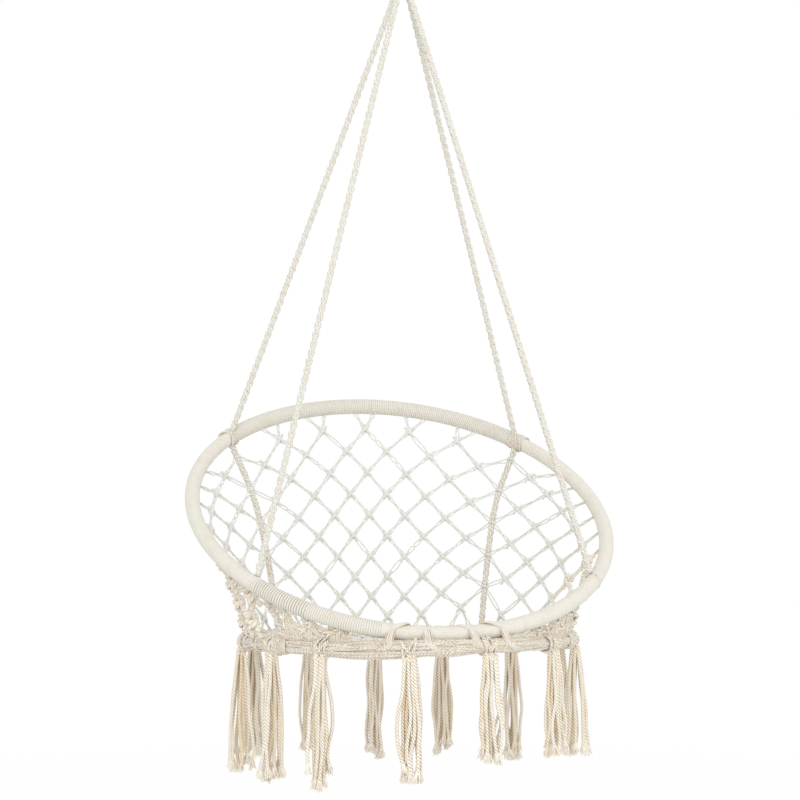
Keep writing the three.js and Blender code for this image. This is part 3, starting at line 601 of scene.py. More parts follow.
@dataclass(frozen=True)
class ChairPlan:
    """The places that every sub-assembly shares, in metres and degrees."""

    hoop: RingLine = RingLine((0.0, 0.017, -1.102), 0.3875, 33.3)
    seat: RingLine = RingLine((0.0, -0.033567, -1.341495), 0.2925, -1.5)
    crown: Tint = (0.0, 0.0, -0.086)
    rear_hoop_angle: float = 49.5
    front_hoop_angle: float = 128.5
    rear_seat_angle: float = 43.9
    front_seat_angle: float = 120.4
    rear_wrap: float = 0.0155
    front_wrap: float = 0.0135
    seat_cover: float = 0.0125
    rope_radius: float = 0.00625
    flare: float = 4.0
    flare_share: float = 0.25
    draw_in: float = 0.012
    rope_column: float = 3.0
    front_column: float = 7.5
    column_bend: float = 0.16
    last_row: int = 10
    rear_row: float = 0.104
    rear_step: float = 0.099
    rear_slowing: float = 0.0008
    rear_rise: float = 0.1
    side_row: float = 0.115
    side_fall: float = 0.065
    leg_step: float = 16.8
    leg_spread: float = 4.2
    side_lead: float = 19.5
    side_lag: float = 2.3

    def hoop_angle(self, angle: float) -> float:
        """Give the hoop's angle over a place on the seat ring.

        Args:
            angle: the angle on the seat ring.

        Returns:
            The angle on the hoop.
        """
        size, side = abs(angle), math.copysign(1.0, angle)
        rear_top = self.rear_seat_angle + self.flare
        if size <= rear_top:
            return angle * self.rear_hoop_angle / rear_top
        if size <= self.front_seat_angle:
            share = (size - rear_top) / (self.front_seat_angle - rear_top)
            return side * (self.rear_hoop_angle + share * (self.front_hoop_angle - self.rear_hoop_angle))
        share = (size - self.front_seat_angle) / (180 - self.front_seat_angle)
        return side * (self.front_hoop_angle + share * (180 - self.front_hoop_angle))

    def surface(self, angle: float, share: float) -> Vector:
        """Give a place on the net.

        Args:
            angle: its angle on the seat ring.
            share: its height, from the hoop at 0 to the seat ring at 1.

        Returns:
            The place.
        """
        place = self.hoop.point(self.hoop_angle(angle)).lerp(self.seat.point(angle), share)
        a = math.radians(angle)
        return place - Vector((math.sin(a), math.cos(a), 0.0)) * (self.draw_in * 4 * share * (1 - share))

    def knot_place(self, angle: float, share: float) -> tuple[Vector, Vector, Vector]:
        """Give a place on the net with its directions.

        Args:
            angle: its angle on the seat ring.
            share: its height share.

        Returns:
            The place, the direction down the net and the direction along it.
        """
        tall = self.surface(angle, share + 0.02) - self.surface(angle, share - 0.02)
        across = self.surface(angle + 1, share) - self.surface(angle - 1, share)
        return self.surface(angle, share), tall.normalized(), across.normalized()

    def column_angle(self, column: float, share: float) -> float:
        """Give the angle of a net column, wider near the hoop.

        Args:
            column: the column, 0 at the back and negative on the left.
            share: the height share.

        Returns:
            The angle on the seat ring.
        """
        size = abs(column)
        flare = self.flare * math.exp(-((share / self.flare_share) ** 2))
        inner = min(size, self.rope_column) / self.rope_column
        cube = self.rear_seat_angle * ((1 - self.column_bend) * inner + self.column_bend * inner**3)
        outer = max(size - self.rope_column, 0.0) / (self.front_column - self.rope_column)
        beyond = outer * (self.front_seat_angle - self.rear_seat_angle)
        return math.copysign(1.0, column) * (cube + beyond + flare * inner * (1 - outer))

    def top_row(self, column: float) -> int:
        """Give the first row of knots in a column."""
        return round(1 + 2 * max(abs(column) - self.rope_column, 0.0))

    def row_share(self, column: float, row: int) -> float:
        """Give a knot row's height share in a column.

        Args:
            column: the column.
            row: the row, counted down from the hoop.

        Returns:
            The height share.
        """
        size = abs(column)
        if size <= self.rope_column:
            fall = (row - 1) * self.rear_step - (row - 1) ** 2 * self.rear_slowing
            return self.rear_row + fall * (1 - self.rear_rise * (size / self.rope_column) ** 3)
        first = self.side_row + (size - self.rope_column) * self.side_fall
        top = self.top_row(column)
        return first + (row - top) * (1 - first) / (self.last_row + 1 - top)

    def column_point(self, column: float, share: float) -> Vector:
        """Give a place on a net column."""
        return self.surface(self.column_angle(column, share), share)

    def leg_angle(self, column: float, across: int) -> float:
        """Give the hoop's angle where a leg of the net is tied.

        Args:
            column: the column of its knot.
            across: -1 for a leg to the left, 1 for one to the right.

        Returns:
            The angle on the hoop.
        """
        size = abs(column)
        if size < self.rope_column:
            return self.leg_step * column + across * self.leg_spread
        lead = self.side_lead - self.side_lag * (size - self.rope_column)
        return math.copysign(1.0, column) * (abs(self.column_angle(column, 1.0)) + lead)

    def wrap_at(self, angle: float) -> float:
        """Give the thickness of the hoop's whipping at an angle."""
        size = abs((angle + 180) % 360 - 180)
        return self.rear_wrap if size < self.rear_hoop_angle else self.front_wrap


PLAN = ChairPlan()


@dataclass
class Studio:
    """The camera at the photograph's angle, soft light and a plain pale floor."""

    eye: Tint = (-0.70093, -2.84840, -1.13112)
    look: Tint = (0.23630, 0.96854, 0.07811)
    lens: float = 70.9
    sensor: float = 36.0
    near: float = 0.05
    floor_tint: Tint = (0.96, 0.96, 0.955)
    floor_level: float = -2.02
    floor_reach: float = 14.0
    floor_shadow: float = 2.2
    floor_white: float = 0.88
    ambient: float = 0.88
    aim: Tint = (0.0, 0.0, -1.2)

    def camera(self) -> None:
        """Set up the camera."""
        data = bpy.data.cameras.new("photo_camera")
        data.lens = self.lens
        data.sensor_width = self.sensor
        data.clip_start = self.near
        camera = placed("photo_camera", data)
        camera.location = self.eye
        camera.rotation_euler = Vector(self.look).to_track_quat("-Z", "Y").to_euler()
        bpy.context.scene.camera = camera

    def background(self, sketch: Sketch) -> Socket:
        """Give 1 for what the camera sees straight, mirrored or through glass.

        Args:
            sketch: the nodes that it joins.

        Returns:
            The number's socket.
        """
        path = sketch.node("ShaderNodeLightPath").outputs
        seen = sketch.math("MAXIMUM", path["Is Camera Ray"], path["Is Glossy Ray"])
        return sketch.math("MAXIMUM", seen, path["Is Transmission Ray"])

    def floor(self) -> None:
        """Lay the floor, white to the camera but for the chair's shadow."""
        s = Sketch(bpy.data.materials.new("pale_floor"))
        plain = s.node("ShaderNodeBsdfDiffuse", {"Color": linear(self.floor_tint)})
        glow = s.node("ShaderNodeEmission", {"Color": WHITE, "Strength": 1.0})
        away = s.node("ShaderNodeVectorMath", {0: s.own_place()}, operation="LENGTH").outputs["Value"]
        white = s.ranged(away, self.floor_shadow, self.floor_shadow * 2, self.floor_white, 1.0)
        share = s.math("MULTIPLY", self.background(s), white)
        both = s.node("ShaderNodeMixShader", {0: share, 1: plain.outputs[0], 2: glow.outputs[0]})
        shape = bmesh.new()
        bmesh.ops.create_grid(shape, x_segments=1, y_segments=1, size=self.floor_reach)
        bmesh.ops.translate(shape, verts=shape.verts, vec=(0.0, 0.0, self.floor_level))
        floor = meshed("floor", shape, s.finish(both))

    def sky(self) -> None:
        """Light the room evenly, white to the camera."""
        world = bpy.data.worlds.new("studio_room")
        bpy.context.scene.world = world
        s = Sketch(world, "ShaderNodeOutputWorld")
        strength = s.ranged(self.background(s), 0.0, 1.0, self.ambient, 1.0)
        s.finish(s.node("ShaderNodeBackground", {"Color": WHITE, "Strength": strength}))

    def lamp(self, name: str, place: Tint, power: float, size: float) -> None:
        """Hang a large soft lamp that points at the chair.

        Args:
            name: the lamp's name.
            place: where it hangs.
            power: its power in watts.
            size: the edge of its square.
        """
        data = bpy.data.lights.new(name, "AREA")
        data.energy = power
        data.size = size
        lamp = placed(name, data)
        lamp.location = place
        lamp.rotation_euler = (Vector(self.aim) - Vector(place)).to_track_quat("-Z", "Y").to_euler()

    def build(self) -> None:
        """Set up the whole studio."""
        bpy.context.scene.view_settings.view_transform = "Standard"
        self.camera()
        self.floor()
        self.sky()
        self.lamp("key_lamp", (-2.3, -9.2, 2.2), 290.0, 3.6)
        self.lamp("fill_lamp", (2.6, -1.4, 0.2), 8.0, 2.0)


@dataclass
class Crown:
    """The hanging ring, the two rope bights over it, and the knot and seizing under them."""

    wardrobe: Wardrobe
    bar_radius: float = 0.004
    bar_line: float = 0.029
    ring_height: float = -0.025
    bar_sides: int = 20
    ring_steps: int = 72
    merge_gap: float = 1e-6
    strand: float = 0.0026
    spread: float = 0.0029
    swing: float = 0.0008
    pitch: float = 0.035
    bight_reach: float = 0.01145
    bight_close: float = 0.0066
    bight_drops: tuple[float, float] = (0.016, 0.0064)
    bight_foot: float = 0.009
    knot_cord: float = 0.0034
    knot_wave: float = 0.0042
    knot_layers: tuple[tuple[float, float], ...] = ((0.0095, 0.0105), (0.006, 0.006))
    neck_cord: float = 0.0052
    neck: tuple[Tint, ...] = (
        (0.006, 0.0, -0.004), (0.0095, 0.25, -0.012), (0.0098, 0.4, -0.02), (0.0108, 0.5, -0.029),
    )
    seizing_span: tuple[float, float] = (0.0125, 0.0285)
    seizing_turns: int = 7
    seizing_reach: float = 0.0174
    seizing_wave: float = 0.0006
    seizing_cord: float = 0.0019
    tie_reach: float = 0.0198
    tie_rise: float = 0.0075
    tie_cord: float = 0.0018

    def ring(self) -> None:
        """Turn the steel ring from a small circle."""
        shape = bmesh.new()
        upright = Matrix.Rotation(math.pi / 2, 4, "X")
        place = Matrix.Translation((self.bar_line, 0.0, self.ring_height)) @ upright
        circle = bmesh.ops.create_circle(shape, radius=self.bar_radius, segments=self.bar_sides, matrix=place)
        bmesh.ops.spin(
            shape, geom=circle["verts"] + shape.edges[:], cent=(0.0, 0.0, self.ring_height),
            axis=(0.0, 1.0, 0.0), angle=math.tau, steps=self.ring_steps, use_merge=True, use_duplicate=False,
        )
        bmesh.ops.remove_doubles(shape, verts=shape.verts, dist=self.merge_gap)
        bmesh.ops.recalc_face_normals(shape, faces=shape.faces)
        piece = meshed("steel_hanging_ring", shape, self.wardrobe.ring_steel)
        piece.data.polygons.foreach_set("use_smooth", [True] * len(piece.data.polygons))
        settle(piece, Body.RING.value, ("hang_ring",))

    def bight(self, word: str, side: int) -> None:
        """Lead one rope over the ring's bottom bar and back to the knot.

        Args:
            word: the side's name.
            side: -1 for left, 1 for right.
        """
        reach, close, bar = self.bight_reach, self.bight_close, self.ring_height - self.bar_line
        low, high = (bar - drop for drop in self.bight_drops)
        rise = [(close, PLAN.crown[2] + self.bight_foot), (close, low), (reach, high)]
        bends = [math.radians(t) for t in range(0, 181, 30)]
        arch = [(reach * math.cos(bend), bar + reach * math.sin(bend)) for bend in bends]
        fall = [(-y, z) for y, z in reversed(rise)]
        line = rounded([Vector((side * close, y, z)) for y, z in (*rise, *arch, *fall)], 6)
        piece = CordPiece(f"braided_eye_{word}", 8)
        for strand in braided(line, self.spread, self.swing, self.pitch):
            piece.add(strand, self.strand, 0.05)
        piece.build(self.wardrobe.rope, f"rope_eye_{word}", body=Body.EYES.value, slot=Slot.ROPE)

    def knot(self) -> None:
        """Wind the round wall knot and its neck."""
        piece = CordPiece("crown_wall_knot", 8)
        crown = Vector(PLAN.crown)
        for layer, (mean, rise) in enumerate(self.knot_layers):
            points = []
            for turn in (math.tau * i / 40 for i in range(3 * 40 + 1)):
                wave = turn * 4 / 3 + layer
                out = mean + self.knot_wave * math.cos(wave)
                points.append(crown + polar(out, turn, rise * math.sin(wave)))
            piece.add(points, self.knot_cord, 0.1 + 0.1 * layer)
        for k in range(4):
            spin = math.radians(45 + 90 * k)
            points = [crown + polar(out, spin + lag, drop) for out, lag, drop in self.neck]
            piece.add(rounded(points, 5), self.neck_cord, 0.05)
        piece.build(self.wardrobe.rope, "crown_knot", body=Body.CROWN.value, slot=Slot.ROPE)

    def seizing(self) -> None:
        """Bind the four rope tops under the knot."""
        low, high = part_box("crown_seizing")
        piece = CordPiece("crown_cord_seizing", 8)
        top, bottom = (PLAN.crown[2] - drop for drop in self.seizing_span)
        points = []
        for share in shares(self.seizing_turns * 20):
            turn = math.tau * self.seizing_turns * share
            out = self.seizing_reach + self.seizing_wave * math.sin(3.7 * turn)
            points.append(polar(out, turn, top + (bottom - top) * share))
        piece.add(points, self.seizing_cord, 0.1)
        middle = (top + bottom) / 2
        turns = [math.tau * share for share in shares(24)]
        cross = [polar(self.tie_reach, turn, middle + self.tie_rise * math.cos(turn)) for turn in turns]
        piece.add(cross, self.tie_cord, 0.2)
        piece.build(self.wardrobe.lashing, "crown_seizing", body=Body.CROWN.value, slot=Slot.ROPE)
        log.info("seizing box %s %s", tuple(low), tuple(high))

    def build(self) -> None:
        """Make the whole crown."""
        self.ring()
        for word, side in SIDES:
            self.bight(word, side)
        self.knot()
        self.seizing()


@dataclass
class Ropes:
    """The four taut ropes to the hoop and the four lower ropes down to the seat ring."""

    wardrobe: Wardrobe
    strand: float = 0.0033
    spread: float = 0.0026
    swing: float = 0.0005
    pitch: float = 0.034
    diameter: float = 0.0125
    head_drop: float = 0.0293
    foot_gap: float = 0.0165
    lower_swell: float = 1.08
    lower_cut: float = 1.5

    def upper(self, name: str, angle: float) -> None:
        """Args:
            name: the rope's CAD node.
            angle: the hoop's angle at its foot.
        """
        crown, foot = Vector(PLAN.crown), PLAN.hoop.point(angle)
        run = foot - crown
        head = crown + run * (self.head_drop / -run.z)
        stop = foot - run.normalized() * self.foot_gap
        piece = CordPiece(name.replace("rope", "braided_rope"), 8)
        for strand in braided([head, stop], self.spread, self.swing, self.pitch, math.radians(angle)):
            piece.add(strand, self.strand, 0.04)
        made = piece.build(self.wardrobe.rope, name, slot=Slot.ROPE)
        log.info("%s is %.3f m long", name, (stop - head).length)

    def lower(self, name: str, column: float) -> None:
        """Plait one lower rope along its net column.

        Args:
            name: the rope's CAD node.
            column: the net column that it follows.
        """
        line = [PLAN.column_point(column, share) for share in shares(60)]
        piece = CordPiece(name.replace("rope", "braided_rope"), 8)
        for k, strand in enumerate(braided(line, self.spread, self.swing, self.pitch, column)):
            piece.add(strand, self.strand * self.lower_swell, 0.05 + 0.15 * (k % 2), cut=self.lower_cut)
        piece.build(self.wardrobe.rope, name, slot=Slot.ROPE)

    def build(self) -> None:
        """Make all eight ropes."""
        for word, side in SIDES:
            self.upper(f"rope_rear_{word}", side * PLAN.rear_hoop_angle)
            self.upper(f"rope_front_{word}", side * PLAN.front_hoop_angle)
            self.lower(f"lower_rope_rear_{word}", side * PLAN.rope_column)
            self.lower(f"lower_rope_front_{word}", side * PLAN.front_column)


@dataclass(frozen=True)
class Whipping:
    """One stretch of close cord turns round a ring."""

    start: float
    stop: float
    reach: float
    pitch: float
    depth: float
    cut: float


@dataclass
class HoopDressing:
    """The hoop's whippings and the lashings where the ropes meet it."""

    wardrobe: Wardrobe
    lashing_cord: float = 0.0019
    lashing_lay: float = 0.016
    lashing_step: float = 1.95
    samples: int = 5
    unevenness: float = 0.0006
    fine_pitch: float = 0.0026
    fine_depth: float = 0.00015
    fine_cut: float = 0.16
    coarse_from: float = 196.5
    bold_from: float = 215.5
    rear_sink: float = 0.0005
    front_sink: float = 0.0015

    def whipping(self, node: str, stretches: list[Whipping], seed: int) -> None:
        """Wind one whipping, made of stretches that follow one another.

        Args:
            node: the CAD sleeve that it stands for.
            stretches: their places and pitches.
            seed: start of its chance values.
        """
        ring, chance = PLAN.hoop, random.Random(seed)
        piece = CordPiece(node + "_turns", 20)
        for plan in stretches:
            arc = math.radians(plan.stop - plan.start) * ring.radius
            turns = round(arc / plan.pitch)
            heights = [chance.gauss(0.0, 0.12) for _ in range(turns + 2)]
            points, widths = [], []
            for turn in (i / self.samples for i in range(turns * self.samples + 1)):
                points.append(ring.point(plan.start + (plan.stop - plan.start) * turn / turns))
                crest = abs(math.sin(math.pi * turn)) ** 0.7
                wander = 0.12 * math.sin(turn * 0.21 + seed) + heights[int(turn)]
                reach = plan.reach - plan.depth * (1 - crest) + self.unevenness * wander
                widths.append(reach / plan.reach)
            piece.add(points, plan.reach, 0.0, arc / turns, widths, plan.cut)
        piece.build(self.wardrobe.whipping, node)

    def lashing(
        self, node: str, ring: RingLine, reach: float, angle: float, turns: int, crosses: int, seed: int,
    ) -> None:
        """Bind a rope to a ring: flat close turns and a few slanting ones over them.

        Args:
            node: the CAD lashing that it stands for.
            ring: the ring that it goes round.
            reach: distance of its cords from the ring's middle.
            angle: the rope's place on the ring.
            turns: how many close turns.
            crosses: how many slanting turns.
            seed: start of its chance values.
        """
        chance, cord, lay = random.Random(seed), self.lashing_cord, self.lashing_lay
        piece = CordPiece(node + "_cords")
        step = cord * self.lashing_step
        width = turns * step
        points = []
        for turn in (i / 16 for i in range(turns * 16 + 1)):
            place = angle + ring.degrees(turn * step - width / 2)
            points.append(ring.skin(place, 360 * turn + 200, reach + 0.0003 * math.sin(2.3 * turn + seed)))
        piece.add(points, cord, 0.08, lay)
        for k in range(crosses):
            middle = angle + ring.degrees(chance.uniform(-0.2, 0.2) * width)
            half = ring.degrees(width * chance.uniform(0.4, 0.6)) * (1 if k % 2 else -1)
            over = reach + cord * (0.7 + 0.3 * (k % 2))
            start = chance.uniform(60, 120)
            loop = ring.loop(middle, half, start, over)
            piece.add(loop, cord * 0.95, chance.uniform(0.0, 0.2), lay)
        piece.build(self.wardrobe.lashing, node)

    def build(self) -> None:
        """Wind the hoop's whippings and its four lashings."""
        rear, front, face = PLAN.rear_hoop_angle, PLAN.front_hoop_angle, PLAN.front_wrap
        fine = (face, self.fine_pitch, self.fine_depth, self.fine_cut)
        self.whipping("hoop_wrap_rear", [Whipping(-rear, rear, PLAN.rear_wrap, 0.004, 0.0007, 0.6)], 3)
        self.whipping("hoop_wrap_right", [Whipping(rear, front, *fine)], 5)
        self.whipping("hoop_wrap_left", [Whipping(360 - front, 360 - rear, *fine)], 9)
        self.whipping("hoop_wrap_front", [
            Whipping(front, self.coarse_from, face, self.fine_pitch, 0.00018, 0.2),
            Whipping(self.coarse_from, self.bold_from, face + 0.0002, 0.004, 0.0005, 0.6),
            Whipping(self.bold_from, 360 - front, face + 0.0007, 0.0048, 0.0013, 1.0),
        ], 7)
        rear_reach, front_reach = PLAN.rear_wrap - self.rear_sink, face - self.front_sink
        for node, reach, angle, turns, crosses, seed in (
            ("rear_left", rear_reach, -rear, 5, 2, 21), ("rear_right", rear_reach, rear, 9, 4, 22),
            ("front_left", front_reach, -front, 4, 0, 31), ("front_right", front_reach, front, 4, 1, 32),
        ):
            self.lashing("hoop_lashing_" + node, PLAN.hoop, reach, angle, turns, crosses, seed)


@dataclass
class SeatDressing:
    """The seat ring's cover of long cords, its lashings, the front ties and the net's laced edge."""

    wardrobe: Wardrobe
    hoop_work: HoopDressing
    ring: RingLine = PLAN.seat
    cord: float = 0.0022
    base: float = 0.0094
    base_step: float = 0.004
    lay: float = 0.018
    lengthwise: int = 20
    drift: float = 500.0
    cover_step: float = 1.3
    rawness: float = 0.25
    hitch_leans: tuple[float, float] = (1.4, 2.6)
    hitch_rawness: float = 0.4
    edge_pitch: float = 4.3
    edge_depth: float = 0.034
    edge_dip: float = 0.003
    edge_lay: float = 0.016
    slack_runs: tuple[tuple[float, ...], ...] = ((176.0, 236.0, 0.0075, 9), (172.0, 191.0, 0.004, 6))
    lashing_sink: float = 0.0004
    tie_angles: tuple[float, ...] = (-160.5, -172.0, 172.0, 160.5)
    tie_step: float = 0.0034
    tie_lean: float = 0.019
    tie_sink: float = 0.002
    tie_cord: float = 0.0019
    shadow_rim_cord: float = 0.0012
    shadow_rim_sink: float = 0.0008
    cross_cord: float = 0.0016
    cross_lean: float = -0.009

    def cover(self, node: str, start: float, stop: float, hitches: int, seed: int) -> None:
        """Cover one stretch of the seat ring with long cords and a few slanting hitches.

        Args:
            node: the CAD cover that it stands for.
            start: where it starts, in degrees.
            stop: where it ends.
            hitches: how many hitches go round it.
            seed: start of its chance values.
        """
        ring, chance, long = self.ring, random.Random(seed), stop - start
        base = CordPiece(node + "_base", 16)
        arc = math.radians(long) * ring.radius
        count = round(arc / self.base_step)
        widths = [1 + 0.02 * math.sin(1.9 * i) + chance.gauss(0, 0.008) for i in range(count + 1)]
        line = [ring.point(start + long * share) for share in shares(count)]
        base.add(line, self.base, 0.1, self.base_step, widths)
        base.build(self.wardrobe.cover, node)
        cords = CordPiece(node + "_cords")
        steps = round(long / self.cover_step)
        for k in range(self.lengthwise):
            turn = 360 * k / self.lengthwise + chance.uniform(-6, 6)
            slope = chance.uniform(-self.drift, self.drift) * arc
            level = self.base + self.cord * (0.1 + 0.3 * (k % 2))
            points = []
            for i, share in enumerate(shares(steps)):
                swing = 11 * math.sin(0.17 * i + k * 2.1) + 4 * math.sin(0.61 * i + k * 1.3)
                lift = self.cord * 0.22 * math.sin(0.55 * i + k)
                points.append(ring.skin(start + long * share, turn + slope * share + swing, level + lift))
            cords.add(points, *drawn(chance, self.cord, 0.7, 1.05, self.rawness), self.lay)
        for h in range(hitches):
            angle = start + long * (h + 0.5) / hitches + chance.uniform(-1.2, 1.2)
            for way in (-1, 1):
                lean = way * chance.uniform(*self.hitch_leans)
                begin = chance.uniform(0, 360)
                reach = self.base + self.cord * (0.8 if way > 0 else 1.05)
                loop = [
                    ring.skin(angle + lean * math.cos(math.tau * i / 20), begin + 20 * i, reach)
                    for i in range(21)
                ]
                cords.add(loop, *drawn(chance, self.cord, 0.75, 1.0, self.hitch_rawness), self.lay)
        cords.build(self.wardrobe.seat_cord)

    def edge(self) -> None:
        """Lace the seat net's first row to the ring all round in slanting doubled cords."""
        ring, chance = self.ring, random.Random(47)
        piece = CordPiece("seat_edge_lacing")
        count = round(360 / self.edge_pitch)
        for i in range(count):
            angle = 360 * i / count + chance.uniform(-0.4, 0.4)
            for way in (-1, 1):
                lead = way * self.edge_pitch * chance.uniform(0.7, 1.0)
                for twin in (0.0, 0.75):
                    inward = ring.radial(angle + lead + twin) * (ring.radius - self.edge_depth)
                    stops = [
                        ring.skin(angle + way * 0.5 + twin, 70, self.base + self.cord * 1.1),
                        ring.skin(angle + way * 0.8 + twin, 135, self.base + self.cord * 1.3),
                        Vector(ring.middle) + inward - ring.axis * self.edge_dip,
                    ]
                    size = drawn(chance, self.cord, 0.9, 1.1, self.rawness)
                    piece.add(rounded(stops, 4), *size, self.edge_lay)
        piece.build(self.wardrobe.brightened_low_net)

    def slack(self) -> None:
        """Let loose lengthwise cords hang a little below the front of the seat ring."""
        chance = random.Random(48)
        piece = CordPiece("seat_slack_cords")
        for start, stop, drop, count in self.slack_runs:
            for k in range(count):
                turn = -80 + 50 * k / count
                first, last = start + chance.uniform(-1, 4), stop + chance.uniform(-4, 1)
                fall = drop * (1 - 0.6 * k / count) * chance.uniform(0.8, 1.1)
                points = []
                for share in shares(30):
                    reach = self.base + self.cord * 0.8 + fall * math.sin(math.pi * share) ** 2
                    swing = 6 * math.sin(5.0 * share + k * 1.7)
                    points.append(self.ring.skin(first + (last - first) * share, turn + swing, reach))
                piece.add(points, *drawn(chance, self.cord, 0.85, 1.1, self.rawness), self.lay)
        piece.build(self.wardrobe.seat_cord)

    def belt(self, low: Vector, high: Vector, level: float, along: Vector, lean: float) -> Line:
        """Lead a cord once round the seat ring and the hoop where they lie side by side.

        Args:
            low: a place on the seat ring's middle.
            high: a place on the hoop's middle.
            level: how far the cord stands off the hoop's whipping.
            along: the direction of the seat ring.
            lean: how far its top is shifted along the ring from its middle.

        Returns:
            The cord's points.
        """
        rise = (high - low).normalized()
        side = along.cross(rise).normalized()
        points = []
        for turn in (math.tau * share for share in shares(28)):
            away = around(rise, side, turn)
            first = low + away * (PLAN.seat_cover - self.tie_sink)
            second = high + away * (PLAN.front_wrap + level)
            place = second if second.dot(away) > first.dot(away) else first
            points.append(place + along * (lean * math.cos(turn)))
        return points

    def front_tie(self, index: int, angle: float) -> None:
        """Tie the hoop down to the seat ring with a broad slanting band, edged by two thin sunk tanner cords
        that are painted shadow lines, and one cord across it.

        Args:
            index: the tie's number in the CAD.
            angle: its place on the seat ring.
        """
        chance = random.Random(60 + index)
        low, along = self.ring.point(angle), self.ring.tangent(angle)
        near = min((PLAN.hoop.point(angle + k * 0.5) for k in range(-60, 61)), key=lambda p: (p - low).length)
        way = -1 if index == 1 else 1
        piece = CordPiece(f"front_tie_{index}_cords")
        for k in range(5):
            shadow_rim = k in (0, 4)
            lean = way * (self.tie_lean + chance.uniform(-0.001, 0.001))
            shift = along * ((k - 2) * self.tie_step)
            level = -self.shadow_rim_sink if shadow_rim else -0.0001 + chance.uniform(-0.0003, 0.0003)
            line = self.belt(low + shift, near + shift, level, along, lean)
            # Painted shadow: the two sunk rim cords get a tanner tone to draw dark lines along the band's
            # edges.
            tone = 0.35 if shadow_rim else chance.uniform(0.0, 0.08)
            piece.add(line, self.shadow_rim_cord if shadow_rim else self.tie_cord, tone, self.lay, cut=0.7)
        crossing = self.belt(low, near, -0.0002, along, self.cross_lean * way)
        piece.add(crossing, self.cross_cord, 0.15, self.lay, cut=0.7)
        piece.build(self.wardrobe.lashing, f"front_tie_{index}")

    def build(self) -> None:
        """Dress the whole seat ring."""
        rear, front = PLAN.rear_seat_angle, PLAN.front_seat_angle
        self.cover("seat_cover_rear", -rear, rear, 9, 41)
        self.cover("seat_cover_right", rear, front, 7, 42)
        self.cover("seat_cover_front", front, 360 - front, 5, 43)
        self.cover("seat_cover_left", 360 - front, 360 - rear, 7, 44)
        self.edge()
        self.slack()
        reach = PLAN.seat_cover - self.lashing_sink
        for k, (word, side) in enumerate(SIDES):
            self.hoop_work.lashing(f"seat_lashing_rear_{word}", self.ring, reach, side * rear, 5, 5, 51 + k)
            self.hoop_work.lashing(f"seat_lashing_front_{word}", self.ring, reach, side * front, 6, 8, 55 + k)
        for i, angle in enumerate(self.tie_angles):
            self.front_tie(i + 1, angle)


